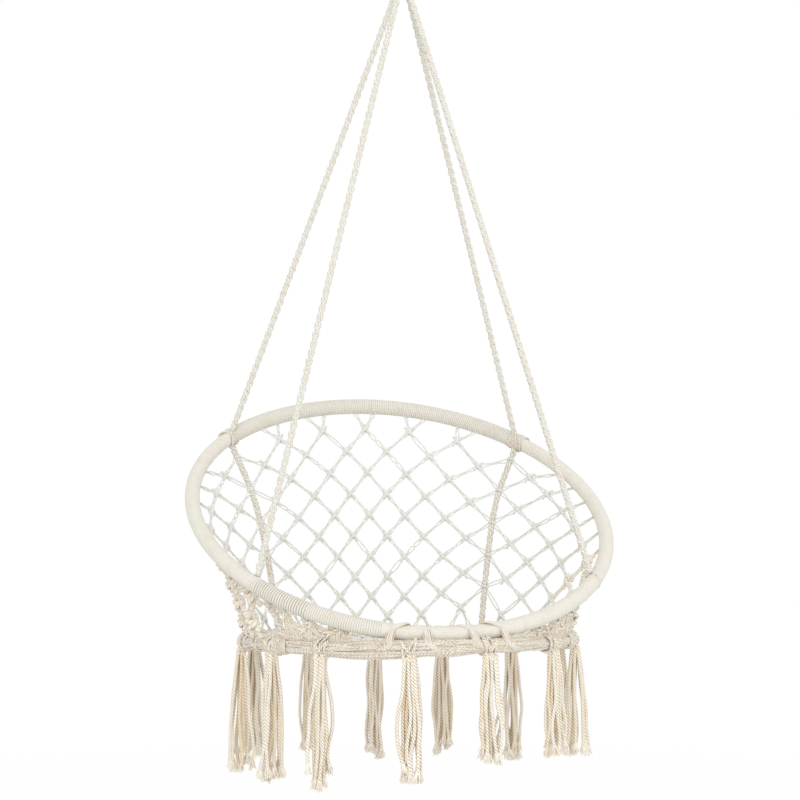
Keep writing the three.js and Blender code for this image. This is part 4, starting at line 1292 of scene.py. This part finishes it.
@dataclass
class Weave:
    """A piece of net in the making: its cords, its chance values and the ways to tie them."""

    piece: CordPiece
    chance: random.Random
    cord: float = 0.00138
    knot_wide: float = 0.0076
    knot_tall: float = 0.0074
    knot_tone: float = 0.08
    bow: float = 0.0021
    gather: float = 0.003
    open_reach: float = 0.025
    long_pair: float = 0.045
    sag: float = 0.0007
    short_pair: float = 0.035
    pair_steps: int = 16
    shut_odds: float = 0.06
    crossed_odds: float = 0.5
    single_odds: float = 0.12
    swell: float = 0.4
    swell_reach: float = 0.009
    knot_cord: float = 1.55
    knot_tilt: float = 0.35
    coil_turns: float = 1.5
    twist_turns: float = 1.6
    twist_cord: float = 0.0015
    twist_out: float = 0.0014

    def pair(self, start: Vector, end: Vector, face: Vector, thick: float = 1.0, tone: float = 0.05) -> None:
        """Lead a pair of cords from one knot to another: open beside both knots, side by side between.

        Args:
            start: where the pair starts.
            end: where it ends.
            face: the direction that the net faces there.
            thick: factor on the cords' thickness.
            tone: how raw the cords are.
        """
        chance, cord = self.chance, self.cord * thick
        run = end - start
        length = run.length
        if length < cord * 4:
            return
        side = face.cross(run).normalized()
        lift = run.cross(side).normalized()
        begin, reach = min(self.gather, length * 0.1), min(self.open_reach, length * 0.42)
        bow = self.bow * min(1.0, length / self.long_pair) * chance.uniform(0.7, 1.3)
        shut = [chance.random() < self.shut_odds, chance.random() < self.shut_odds]
        crossed, single = chance.random() < self.crossed_odds, chance.random() < self.single_odds
        sag = chance.uniform(-0.5, 1.0) * self.sag * min(1.0, length / self.short_pair)
        for way in (-1, 1):
            points, widths = [], []
            for t in shares(self.pair_steps):
                near = min(t, 1 - t) * length
                share = (near - begin) / (reach - begin)
                if single:
                    share = (t * length - begin) / (length - 2 * begin)
                elif shut[0 if t < 0.5 else 1]:
                    share = 0.0
                share = min(1.0, max(0.0, share))
                swell = 1.25 * smoothstep(0.0, 0.3, share) * (1 - share)
                if single:
                    swell = math.sin(math.pi * share)
                theta = math.pi * smoothstep(0.4, 0.6, t) if crossed else 0.0
                flat = around(side * (cord * 0.98 + bow * swell), lift * (cord * 1.05), theta)
                points.append(start + run * t + flat * way - UP * (sag * math.sin(math.pi * t)))
                widths.append(1.0 + self.swell * max(0.0, 1 - near / self.swell_reach))
            self.piece.add(points, cord, max(0.0, tone + chance.uniform(-0.08, 0.12)), 0.0, widths)

    def knot(self, place: Vector, tall: Vector, across: Vector, size: float) -> None:
        """Tie a small square knot.

        Args:
            place: the knot's middle.
            tall: the direction down the net.
            across: the direction along the net.
            size: factor on its size.
        """
        tall = tall.normalized()
        across = (across - tall * across.dot(tall)).normalized()
        face = tall.cross(across)
        wide, high, cord = self.knot_wide * size, self.knot_tall * size, self.cord * self.knot_cord * size
        for level in (-0.42, 0.42):
            tilt = self.chance.uniform(-0.2, 0.2) + math.copysign(self.knot_tilt, level)
            lie = around(across, tall, tilt)
            coil = []
            for i in range(13):
                loop = around(lie * (wide * 0.8), face * (cord * 1.9), math.tau * i / 11)
                coil.append(place + loop + tall * (high * (level * 0.9 + 0.03 * i - 0.18)))
            self.piece.add(coil, cord, self.knot_tone + self.chance.uniform(0, 0.12))
        for way in (-1, 1):
            bar = []
            for t in (share * 2 - 1 for share in shares(6)):
                lift = cord * (2.2 + 0.4 * way) * (1 - t * t) - cord * 0.6
                bar.append(place + across * (wide * 1.2 * t) + tall * (high * 1.3 * t * way) + face * lift)
            self.piece.add(bar, cord * 1.15, self.knot_tone)

    def coil(self, place: Vector, run: Vector, reach: float, thick: float = 1.1) -> None:
        """Wind a small coil round a cord or rope.

        Args:
            place: the coil's middle.
            run: the direction of what it goes round.
            reach: distance of its cord from the middle.
            thick: factor on the cord's thickness.
        """
        run = run.normalized()
        side, lift = square_to(run)
        cord = self.cord * thick
        begin, wound = self.chance.uniform(0, math.tau), math.tau * self.coil_turns
        points = [
            place + around(side, lift, begin + wound * t) * reach + run * (cord * 2.6 * (t - 0.5))
            for t in shares(13)
        ]
        self.piece.add(points, cord, 0.15 + self.chance.uniform(0, 0.2))

    def twisted(self, start: Vector, end: Vector, face: Vector) -> None:
        """Twist a thick raw pair at a side leg's hoop end.

        Args:
            start: where the thick pair starts.
            end: where it enters the whipping.
            face: the direction that the net faces there.
        """
        run = end - start
        side = face.cross(run).normalized()
        lift = run.cross(side).normalized()
        begin, wound = self.chance.uniform(0, math.pi), math.tau * self.twist_turns
        for way in (0, math.pi):
            points = [
                start + run * t + around(side, lift, begin + way + wound * t) * self.twist_out
                for t in shares(12)
            ]
            tone = 0.45 + self.chance.uniform(0, 0.25)
            self.piece.add(points, self.twist_cord, tone, 0.0, [0.7] + [1.0] * 12)

    def clip(self, start: Vector, target: Vector, reach: float) -> Vector:
        """Stop a line a given distance short of its target."""
        return target + (start - target).normalized() * reach


@dataclass
class Netting:
    """The knotted net: rear, sides, front ends and seat."""

    wardrobe: Wardrobe
    ring_coil: float = 0.0028
    hoop_coil: float = 0.0026
    front_coil: float = 0.003
    twist_length: float = 0.018
    sink: float = 0.001
    deep_sink: float = 0.0015
    rope_gap: float = 0.002
    rope_coil: float = 0.0006
    front_knots: tuple[tuple[float, float], ...] = (
        (125.5, 0.42), (130.5, 0.66), (135.5, 0.42), (140.5, 0.64), (145.5, 0.45),
    )
    seat_mesh: float = 0.041
    seat_sag: float = 0.014
    seat_margin: float = 0.021

    def panel(self, node: str, columns: list[float], seed: int) -> None:
        """Knot one panel between the hoop, two ropes and the seat ring.

        Args:
            node: the CAD net that it stands for.
            columns: its knot columns.
            seed: start of its chance values.
        """
        chance = random.Random(seed)
        fine, low = (Weave(CordPiece(f"knotted_{node}{end}"), chance) for end in ("", "_low"))
        places = {}
        for column in columns:
            for row in range(PLAN.top_row(column), PLAN.last_row + 1):
                if round(2 * column + row) % 2:
                    share = PLAN.row_share(column, row)
                    angle = PLAN.column_angle(column, share)
                    places[(round(2 * column), row)] = PLAN.knot_place(angle, share)
        for (twice, row), (place, tall, across) in places.items():
            column = twice / 2
            face = tall.cross(across).normalized()
            heavy = 1 + smoothstep(4.5, 6.5, abs(column)) * (0.3 + 0.7 * smoothstep(5.0, 8.5, row))
            weave = low if heavy > 1.3 else fine
            weave.knot(place, tall, across, heavy)
            for side in (-1, 1):
                for down in (-1, 1):
                    other = places.get((twice + side, row + down))
                    if other and down > 0:
                        weave.pair(place, other[0], face, heavy)
                    if not other:
                        self.leg(weave, place, face, column, row, side, down)
        fine.piece.build(self.wardrobe.net, node)
        if low.piece.strands:
            low.piece.build(self.wardrobe.brightened_low_net)

    def leg(
        self, weave: Weave, start: Vector, face: Vector, column: float, row: int, side: int, down: int,
    ) -> None:
        """Tie a panel's edge to the ring, rope or hoop beside it.

        Args:
            weave: the net in the making.
            start: where the pair leaves its knot.
            face: the direction that the net faces there.
            column: the knot's column.
            row: the knot's row.
            side: -1 to the left, 1 to the right.
            down: -1 up, 1 down.
        """
        after, next_row = column + side / 2, row + down
        if next_row > PLAN.last_row:
            target = PLAN.seat.point(PLAN.column_angle(column + side * 0.3, 1.0))
            end = weave.clip(start, target, PLAN.seat_cover - self.sink)
            weave.pair(start, end, face, 1 + 0.9 * smoothstep(4.5, 6.5, abs(column)), 0.12)
            weave.coil(end, end - start, self.ring_coil)
        elif abs(after) in (PLAN.rope_column, PLAN.front_column) and next_row >= PLAN.top_row(after):
            share = PLAN.row_share(after, next_row)
            target = PLAN.column_point(after, share)
            weave.pair(start, weave.clip(start, target, self.rope_gap), face)
            run = PLAN.column_point(after, share + 0.02) - target
            weave.coil(target, run, PLAN.rope_radius + self.rope_coil, 1.0)
        else:
            angle = PLAN.leg_angle(column, side)
            wrap, target = PLAN.wrap_at(angle), PLAN.hoop.point(angle)
            end = weave.clip(start, target, wrap - self.deep_sink)
            if abs(column) > PLAN.rope_column:
                near = weave.clip(start, target, wrap + self.twist_length)
                weave.pair(start, near, face)
                weave.twisted(near, end, face)
            else:
                weave.pair(start, end, face)
                weave.coil(weave.clip(start, target, wrap + 0.0005), target - start, self.hoop_coil)

    def front(self, word: str, mirror: int, seed: int) -> None:
        """Knot the low dense net between a front rope and the front ties.

        Args:
            word: the side's name.
            mirror: -1 on the left, 1 on the right.
            seed: start of its chance values.
        """
        node = f"net_front_{word}"
        weave = Weave(CordPiece("knotted_" + node), random.Random(seed))
        knots = [PLAN.knot_place(mirror * angle, share) for angle, share in self.front_knots]
        for i, (place, tall, across) in enumerate(knots):
            face = tall.cross(across).normalized()
            weave.knot(place, tall, across, 1.3)
            for spread in (-3.0, 3.0):
                a = mirror * (self.front_knots[i][0] + spread)
                foot = PLAN.seat.point(a)
                if i % 2:
                    end = weave.clip(place, foot, PLAN.seat_cover - self.sink)
                else:
                    end = weave.clip(place, PLAN.hoop.point(PLAN.hoop_angle(a)), PLAN.front_wrap - self.sink)
                weave.pair(place, end, face, 1.6, 0.1)
                weave.coil(end, end - place, self.front_coil, 1.3)
                if i % 2 == 0:
                    weave.pair(place, weave.clip(place, foot, PLAN.seat_cover - self.sink), face, 1.3, 0.15)
            if i + 1 < len(knots):
                weave.pair(place, knots[i + 1][0], face, 1.6, 0.1)
        weave.piece.build(self.wardrobe.brightened_low_net, node)

    def seat(self, seed: int) -> None:
        """Knot the net inside the seat ring.

        Args:
            seed: start of its chance values.
        """
        weave = Weave(CordPiece("knotted_seat_net"), random.Random(seed))
        ring, spacing = PLAN.seat, self.seat_mesh
        inside = ring.radius - PLAN.seat_cover
        across, along, up = ring.tangent(0), -ring.radial(0), ring.axis

        def place_of(x: float, y: float) -> Vector:
            """Give a place in the seat ring's plane."""
            return Vector(ring.middle) + across * x - along * y

        places = {}
        reach = math.ceil(inside / spacing)
        for i in range(-reach, reach + 1):
            for j in range(-reach, reach + 1):
                flat = math.hypot(i, j) * spacing
                if (i + j) % 2 == 0 and flat < inside - self.seat_margin:
                    dip = -self.seat_sag * max(0.0, 1 - (flat / inside) ** 2)
                    places[(i, j)] = place_of(i * spacing, j * spacing) + up * dip
        for (i, j), place in places.items():
            weave.knot(place, -along, across, 1.05)
            for a, b in ((1, 1), (1, -1), (-1, -1), (-1, 1)):
                other = places.get((i + a, j + b))
                if other:
                    if b < 0:
                        run = (other - place).normalized() * weave.knot_wide
                        weave.pair(place + run, other - run, up, 1.1)
                    continue
                x, y, step = i * spacing, j * spacing, 0.0
                while math.hypot(x + a * step, y + b * step) < ring.radius - 0.002:
                    step += 0.001
                end = weave.clip(place, place_of(x + a * step, y + b * step), PLAN.seat_cover - 0.002)
                weave.pair(place + (end - place).normalized() * weave.knot_wide, end, up, 1.2, 0.1)
                weave.coil(end, end - place, self.ring_coil)
        weave.piece.build(self.wardrobe.net, "seat_net")

    def build(self) -> None:
        """Knot every net of the chair."""
        halves = [k / 2 for k in range(-14, 15)]
        rope = PLAN.rope_column
        self.panel("net_rear", [c for c in halves if abs(c) < rope], 101)
        self.panel("net_right", [c for c in halves if c > rope], 102)
        self.panel("net_left", [c for c in halves if c < -rope], 103)
        self.front("right", 1, 104)
        self.front("left", -1, 105)
        self.seat(106)


@dataclass
class Tassel:
    """One tassel: a turned head, a dozen hanging cords in two or three bunches and their brushed ends."""

    wardrobe: Wardrobe
    node: str
    angle: float
    share: float
    seed: int
    rawness: float
    fullness: float
    clump: float
    longest: float = 0.205
    top_wide: float = 0.0098
    top_deep: float = 0.0044
    low_wide: float = 0.0178
    low_deep: float = 0.0105
    head_drop: float = 0.00675
    cord: float = 0.0033
    lay: float = 0.0175
    rows: int = 3
    in_row: int = 4
    sway: float = 0.003
    sway_deep: float = 0.002
    bunch_drops: tuple[float, float] = (0.94, 1.0)
    uneven_drop: float = 0.05
    stray_odds: float = 0.24
    stray_bulges: tuple[float, float] = (0.006, 0.012)
    stray_lengths: tuple[float, float] = (0.86, 0.98)
    wave_speeds: tuple[float, float] = (5.0, 11.0)
    ripple_speeds: tuple[float, float] = (13.0, 19.0)
    wave_sizes: tuple[float, float] = (0.0015, 0.0045)
    ripple: float = 0.3
    scatter_wide: float = 0.002
    scatter_deep: float = 0.0015
    spread_power: float = 1.8
    gathering: float = 0.7
    tone_scatter: float = 0.12
    middle_row_shade: float = 0.4
    ply_swell: float = 0.09
    thicknesses: tuple[float, float] = (0.88, 1.05)
    fibres: int = 22
    fibre: float = 0.0011
    fibre_lengths: tuple[float, float] = (0.0105, 0.0185)
    fibre_spreads: tuple[float, float] = (0.0018, 0.0075)
    fibre_tuck: float = 0.006
    roll_deep: float = 0.0054
    roll_tall: float = 0.0046
    hitch_sink: float = 0.0025
    hitch_rise: float = 0.0035
    hitch_reaches: tuple[float, float] = (0.006, 0.015)
    clump_wide: float = 0.011
    clump_grows: float = 0.004
    clump_turns: int = 9
    clump_rise: float = 0.0026

    def __post_init__(self) -> None:
        """Start the tassel's pieces at the place that it turns about."""
        self.chance = random.Random(self.seed)
        self.cords, self.fray = CordPiece(self.node + "_cords"), CordPiece(self.node + "_fray", 4)
        low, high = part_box(self.node)
        self.head = Vector(((low[0] + high[0]) / 2, (low[1] + high[1]) / 2, high[2] - self.head_drop))
        self.along = PLAN.seat.tangent(self.angle)
        self.along.z = 0.0
        self.along.normalize()
        self.outward = UP.cross(self.along)

    def hang(self) -> None:
        """Hang the cords with their frayed ends."""
        chance = self.chance
        sway = chance.uniform(-self.sway, self.sway)
        sway_deep = chance.uniform(-self.sway_deep, self.sway_deep)
        side_on = smoothstep(0.8, 0.97, abs(math.sin(math.radians(self.angle))))
        low_wide, low_deep = self.low_wide * self.fullness, self.low_deep * (1 + 0.6 * side_on)
        bunches = chance.choice((2, 2, 3))
        centres = [((b + 0.5) / bunches * 2 - 1) * low_wide for b in range(bunches)]
        drops = [chance.uniform(*self.bunch_drops) for _ in centres]
        for k in range(self.rows * self.in_row):
            row, column = k % self.rows, k // self.rows
            stagger = 0.25 if row == 1 else -0.25
            x = (column + 0.5 + stagger) / self.in_row * 2 - 1 + chance.uniform(-0.1, 0.1)
            y = row - 1 + chance.uniform(-0.25, 0.25)
            stray = chance.random() < self.stray_odds and abs(x) > 0.5
            bulge = chance.uniform(*self.stray_bulges) * math.copysign(1, x) if stray else 0.0
            peak = chance.uniform(0.7, 1.6)
            start, speed = chance.uniform(0, math.tau), chance.uniform(*self.wave_speeds)
            second, faster = chance.uniform(0, math.tau), chance.uniform(*self.ripple_speeds)
            amount = chance.uniform(*self.wave_sizes)
            low_x = x * low_wide + chance.gauss(0, self.scatter_wide)
            low_y = y * low_deep + chance.gauss(0, self.scatter_deep)
            bunch = min(range(bunches), key=lambda b: abs(centres[b] - low_x))
            length = self.longest * self.share * (drops[bunch] - chance.uniform(0.0, self.uneven_drop))
            if stray:
                length *= chance.uniform(*self.stray_lengths)
            points = []
            for t in shares(26):
                open_up = 1 - (1 - t) ** self.spread_power
                swing = math.sin(start + speed * t) * t**0.6
                wave = amount * (swing + self.ripple * math.sin(second + faster * t) * t**0.4)
                wide = self.top_wide * x * (1 - open_up) + low_x * open_up + wave
                wide += bulge * math.sin(math.pi * t**peak) ** 2 + sway * math.sin(2.6 * t)
                wide += (centres[bunch] - low_x) * self.gathering * smoothstep(0.62, 1.0, t)
                deep = self.top_deep * y * (1 - open_up) + low_y * open_up + sway_deep * math.sin(2.2 * t)
                deep += amount * math.cos(second + speed * t) * t
                place = self.head + self.along * wide + self.outward * deep
                points.append(place + UP * (0.0015 - length * t))
            # Painted shade: cords of the middle row, deep inside the tassel, are made tanner.
            inner_shade = self.middle_row_shade if row == 1 else 0.0
            tone = min(1.0, max(0.0, chance.gauss(self.rawness, self.tone_scatter) + inner_shade))
            self.twist(points, tone)
            self.tuft(points[-1], (points[-1] - points[-3]).normalized(), tone)

    def twist(self, line: Line, tone: float) -> None:
        """Lay a cord along its line, with the bulges of its three plies.

        Args:
            line: the cord's middle.
            tone: how raw the cord is.
        """
        fine = resampled(line, self.lay / 12)
        begin = self.chance.uniform(0, math.tau)
        thick = self.cord * self.chance.uniform(*self.thicknesses)
        widths = [1.0 + self.ply_swell * math.cos(begin + math.tau * i / 4) for i in range(len(fine))]
        self.cords.add(fine, thick, tone, self.lay, widths)

    def tuft(self, place: Vector, run: Vector, tone: float) -> None:
        """Open one cord's end into fibres.

        Args:
            place: the cord's end.
            run: its direction there.
            tone: how raw the cord is.
        """
        chance = self.chance
        side, lift = square_to(run)
        for _ in range(self.fibres):
            turn, out = chance.uniform(0, math.tau), math.sqrt(chance.uniform(0.02, 1.0))
            across = around(side, lift, turn)
            length = chance.uniform(*self.fibre_lengths)
            spread = out * chance.uniform(*self.fibre_spreads)
            start = place - run * self.fibre_tuck + across * (self.cord * 0.85 * out)
            points = [
                start + run * (length * t) + across * (spread * t**1.4) + UP * (-0.001 * t * t)
                for t in (0.0, 0.3, 0.6, 0.85, 1.0)
            ]
            tint = tone * 0.2 + chance.uniform(0.0, 0.1)
            self.fray.add(points, self.fibre, tint, 0.0, [1.0, 1.0, 0.95, 0.85, 0.55])

    def roll(self) -> None:
        """Turn the cords over at the head."""
        for k in range(4):
            x = (k / 3 - 0.5) * self.top_wide * 1.7
            lean = self.chance.uniform(-0.002, 0.002)
            points = []
            for turn in (math.radians(-75 + 330 * share) for share in shares(10)):
                out = math.cos(turn)
                over = self.along * (x + lean * out) + self.outward * (self.roll_deep * out)
                points.append(self.head + over + UP * (self.roll_tall * math.sin(turn) - 0.0004))
            self.cords.add(points, self.cord * 0.85, self.chance.uniform(0.0, 0.3), self.lay)

    def hitch(self) -> None:
        """Hitch the tassel's cords round the seat ring, in a woven clump where the photograph shows one."""
        chance, ring = random.Random(self.seed + 500), PLAN.seat
        piece = CordPiece(self.node + "_hitch")
        for k in range(4):
            foot = self.angle + ring.degrees((k / 3 * 2 - 1) * self.top_wide * 0.85)
            top = self.angle + ring.degrees(chance.uniform(*self.hitch_reaches) * (1 if k % 2 else -1))
            reach = PLAN.seat_cover + 0.001 + 0.0006 * (k % 2)
            points = []
            for t in shares(12):
                out = reach - self.hitch_sink * (1 - t) ** 3
                out += self.hitch_rise * self.clump * math.sin(math.pi * t)
                points.append(ring.skin(top + (foot - top) * smoothstep(0.0, 1.0, t), 60 - 122 * t, out))
            piece.add(points, *drawn(chance, self.cord, 0.7, 0.85, 0.15), self.lay)
        wide = self.clump_wide + self.clump_grows * self.clump
        for k in range(round(self.clump_turns * self.clump)):
            middle = self.angle + ring.degrees(chance.uniform(-0.5, 0.5) * wide)
            half = ring.degrees(wide * chance.uniform(0.5, 0.9)) * (1 if k % 2 else -1)
            begin = chance.uniform(0, 360)
            reach = PLAN.seat_cover + 0.0012 + chance.uniform(0.0, self.clump_rise)
            loop = ring.loop(middle, half, begin, reach)
            piece.add(loop, *drawn(chance, self.cord, 0.6, 0.8, 0.2), self.lay)
        piece.build(self.wardrobe.seat_cord)

    def build(self) -> None:
        """Make the whole tassel."""
        self.hang()
        self.roll()
        self.cords.build(self.wardrobe.tassel, self.node, body=self.node, slot=Slot.TASSEL)
        self.fray.build(self.wardrobe.fray, body=self.node, slot=Slot.TASSEL)
        self.hitch()


@dataclass
class TasselRow:
    """The thirteen tassels: place in pitches, length, fullness and clump of the hitch above each."""

    wardrobe: Wardrobe
    count: int = 13
    back: tuple[float, ...] = (0.07, 1.125, 0.85, 0.0)
    left: tuple[tuple[float, ...], ...] = (
        (0.92, 1.0, 0.85, 0.0), (2.1, 0.95, 0.9, 0.3), (3.1, 1.0, 1.1, 0.6), (4.19, 1.015, 0.78, 1.0),
        (4.96, 1.03, 0.75, 0.2), (6.0, 1.0, 1.0, 0.2),
    )
    right: tuple[tuple[float, ...], ...] = (
        (1.0, 1.075, 1.1, 0.0), (2.03, 1.11, 0.8, 0.2), (3.03, 0.95, 1.3, 0.9), (3.97, 0.9, 1.35, 1.0),
        (4.98, 0.82, 1.25, 1.0), (6.03, 0.835, 1.0, 0.4),
    )

    def build(self) -> None:
        """Hang every tassel, a little rawer on the left, and tanner towards the back as painted shade."""
        rows = [("tassel_back", 1, self.back)]
        for (word, side), plans in zip(SIDES, (self.left, self.right)):
            rows += [(f"tassel_{word}_{i + 1}", side, plan) for i, plan in enumerate(plans)]
        for i, (node, side, (place, share, fullness, clump)) in enumerate(rows):
            angle = side * place * (360 / self.count)
            rear_shade = smoothstep(-0.6, 0.8, math.cos(math.radians(angle)))
            # Painted shade: tassels towards the back get a tanner tone; the small extra on the left is the
            # cords' own rawer tone.
            rawness = 0.09 + 0.12 * rear_shade + (0.04 if side < 0 else 0.0)
            Tassel(self.wardrobe, node, angle, share, 200 + i, rawness, fullness, clump).build()


def dress_tubes(wardrobe: Wardrobe) -> None:
    """Give the two hidden steel tubes their finish.

    Args:
        wardrobe: the chair's finishes.
    """
    for name in ("hoop_tube", "seat_tube"):
        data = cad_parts[name].data
        data.materials.clear()
        data.materials.append(wardrobe.tube_steel)
        log.info("%s keeps its CAD shape", name)


def main() -> None:
    """Build the chair's sub-assemblies in order, from the camera down to the tassels."""
    logging.basicConfig(level=logging.INFO, format="%(message)s")
    Studio().build()
    wardrobe = Wardrobe()
    Ropes(wardrobe).build()
    Crown(wardrobe).build()
    hoop_work = HoopDressing(wardrobe)
    hoop_work.build()
    SeatDressing(wardrobe, hoop_work).build()
    Netting(wardrobe).build()
    TasselRow(wardrobe).build()
    dress_tubes(wardrobe)


if __name__ == "__main__":
    main()
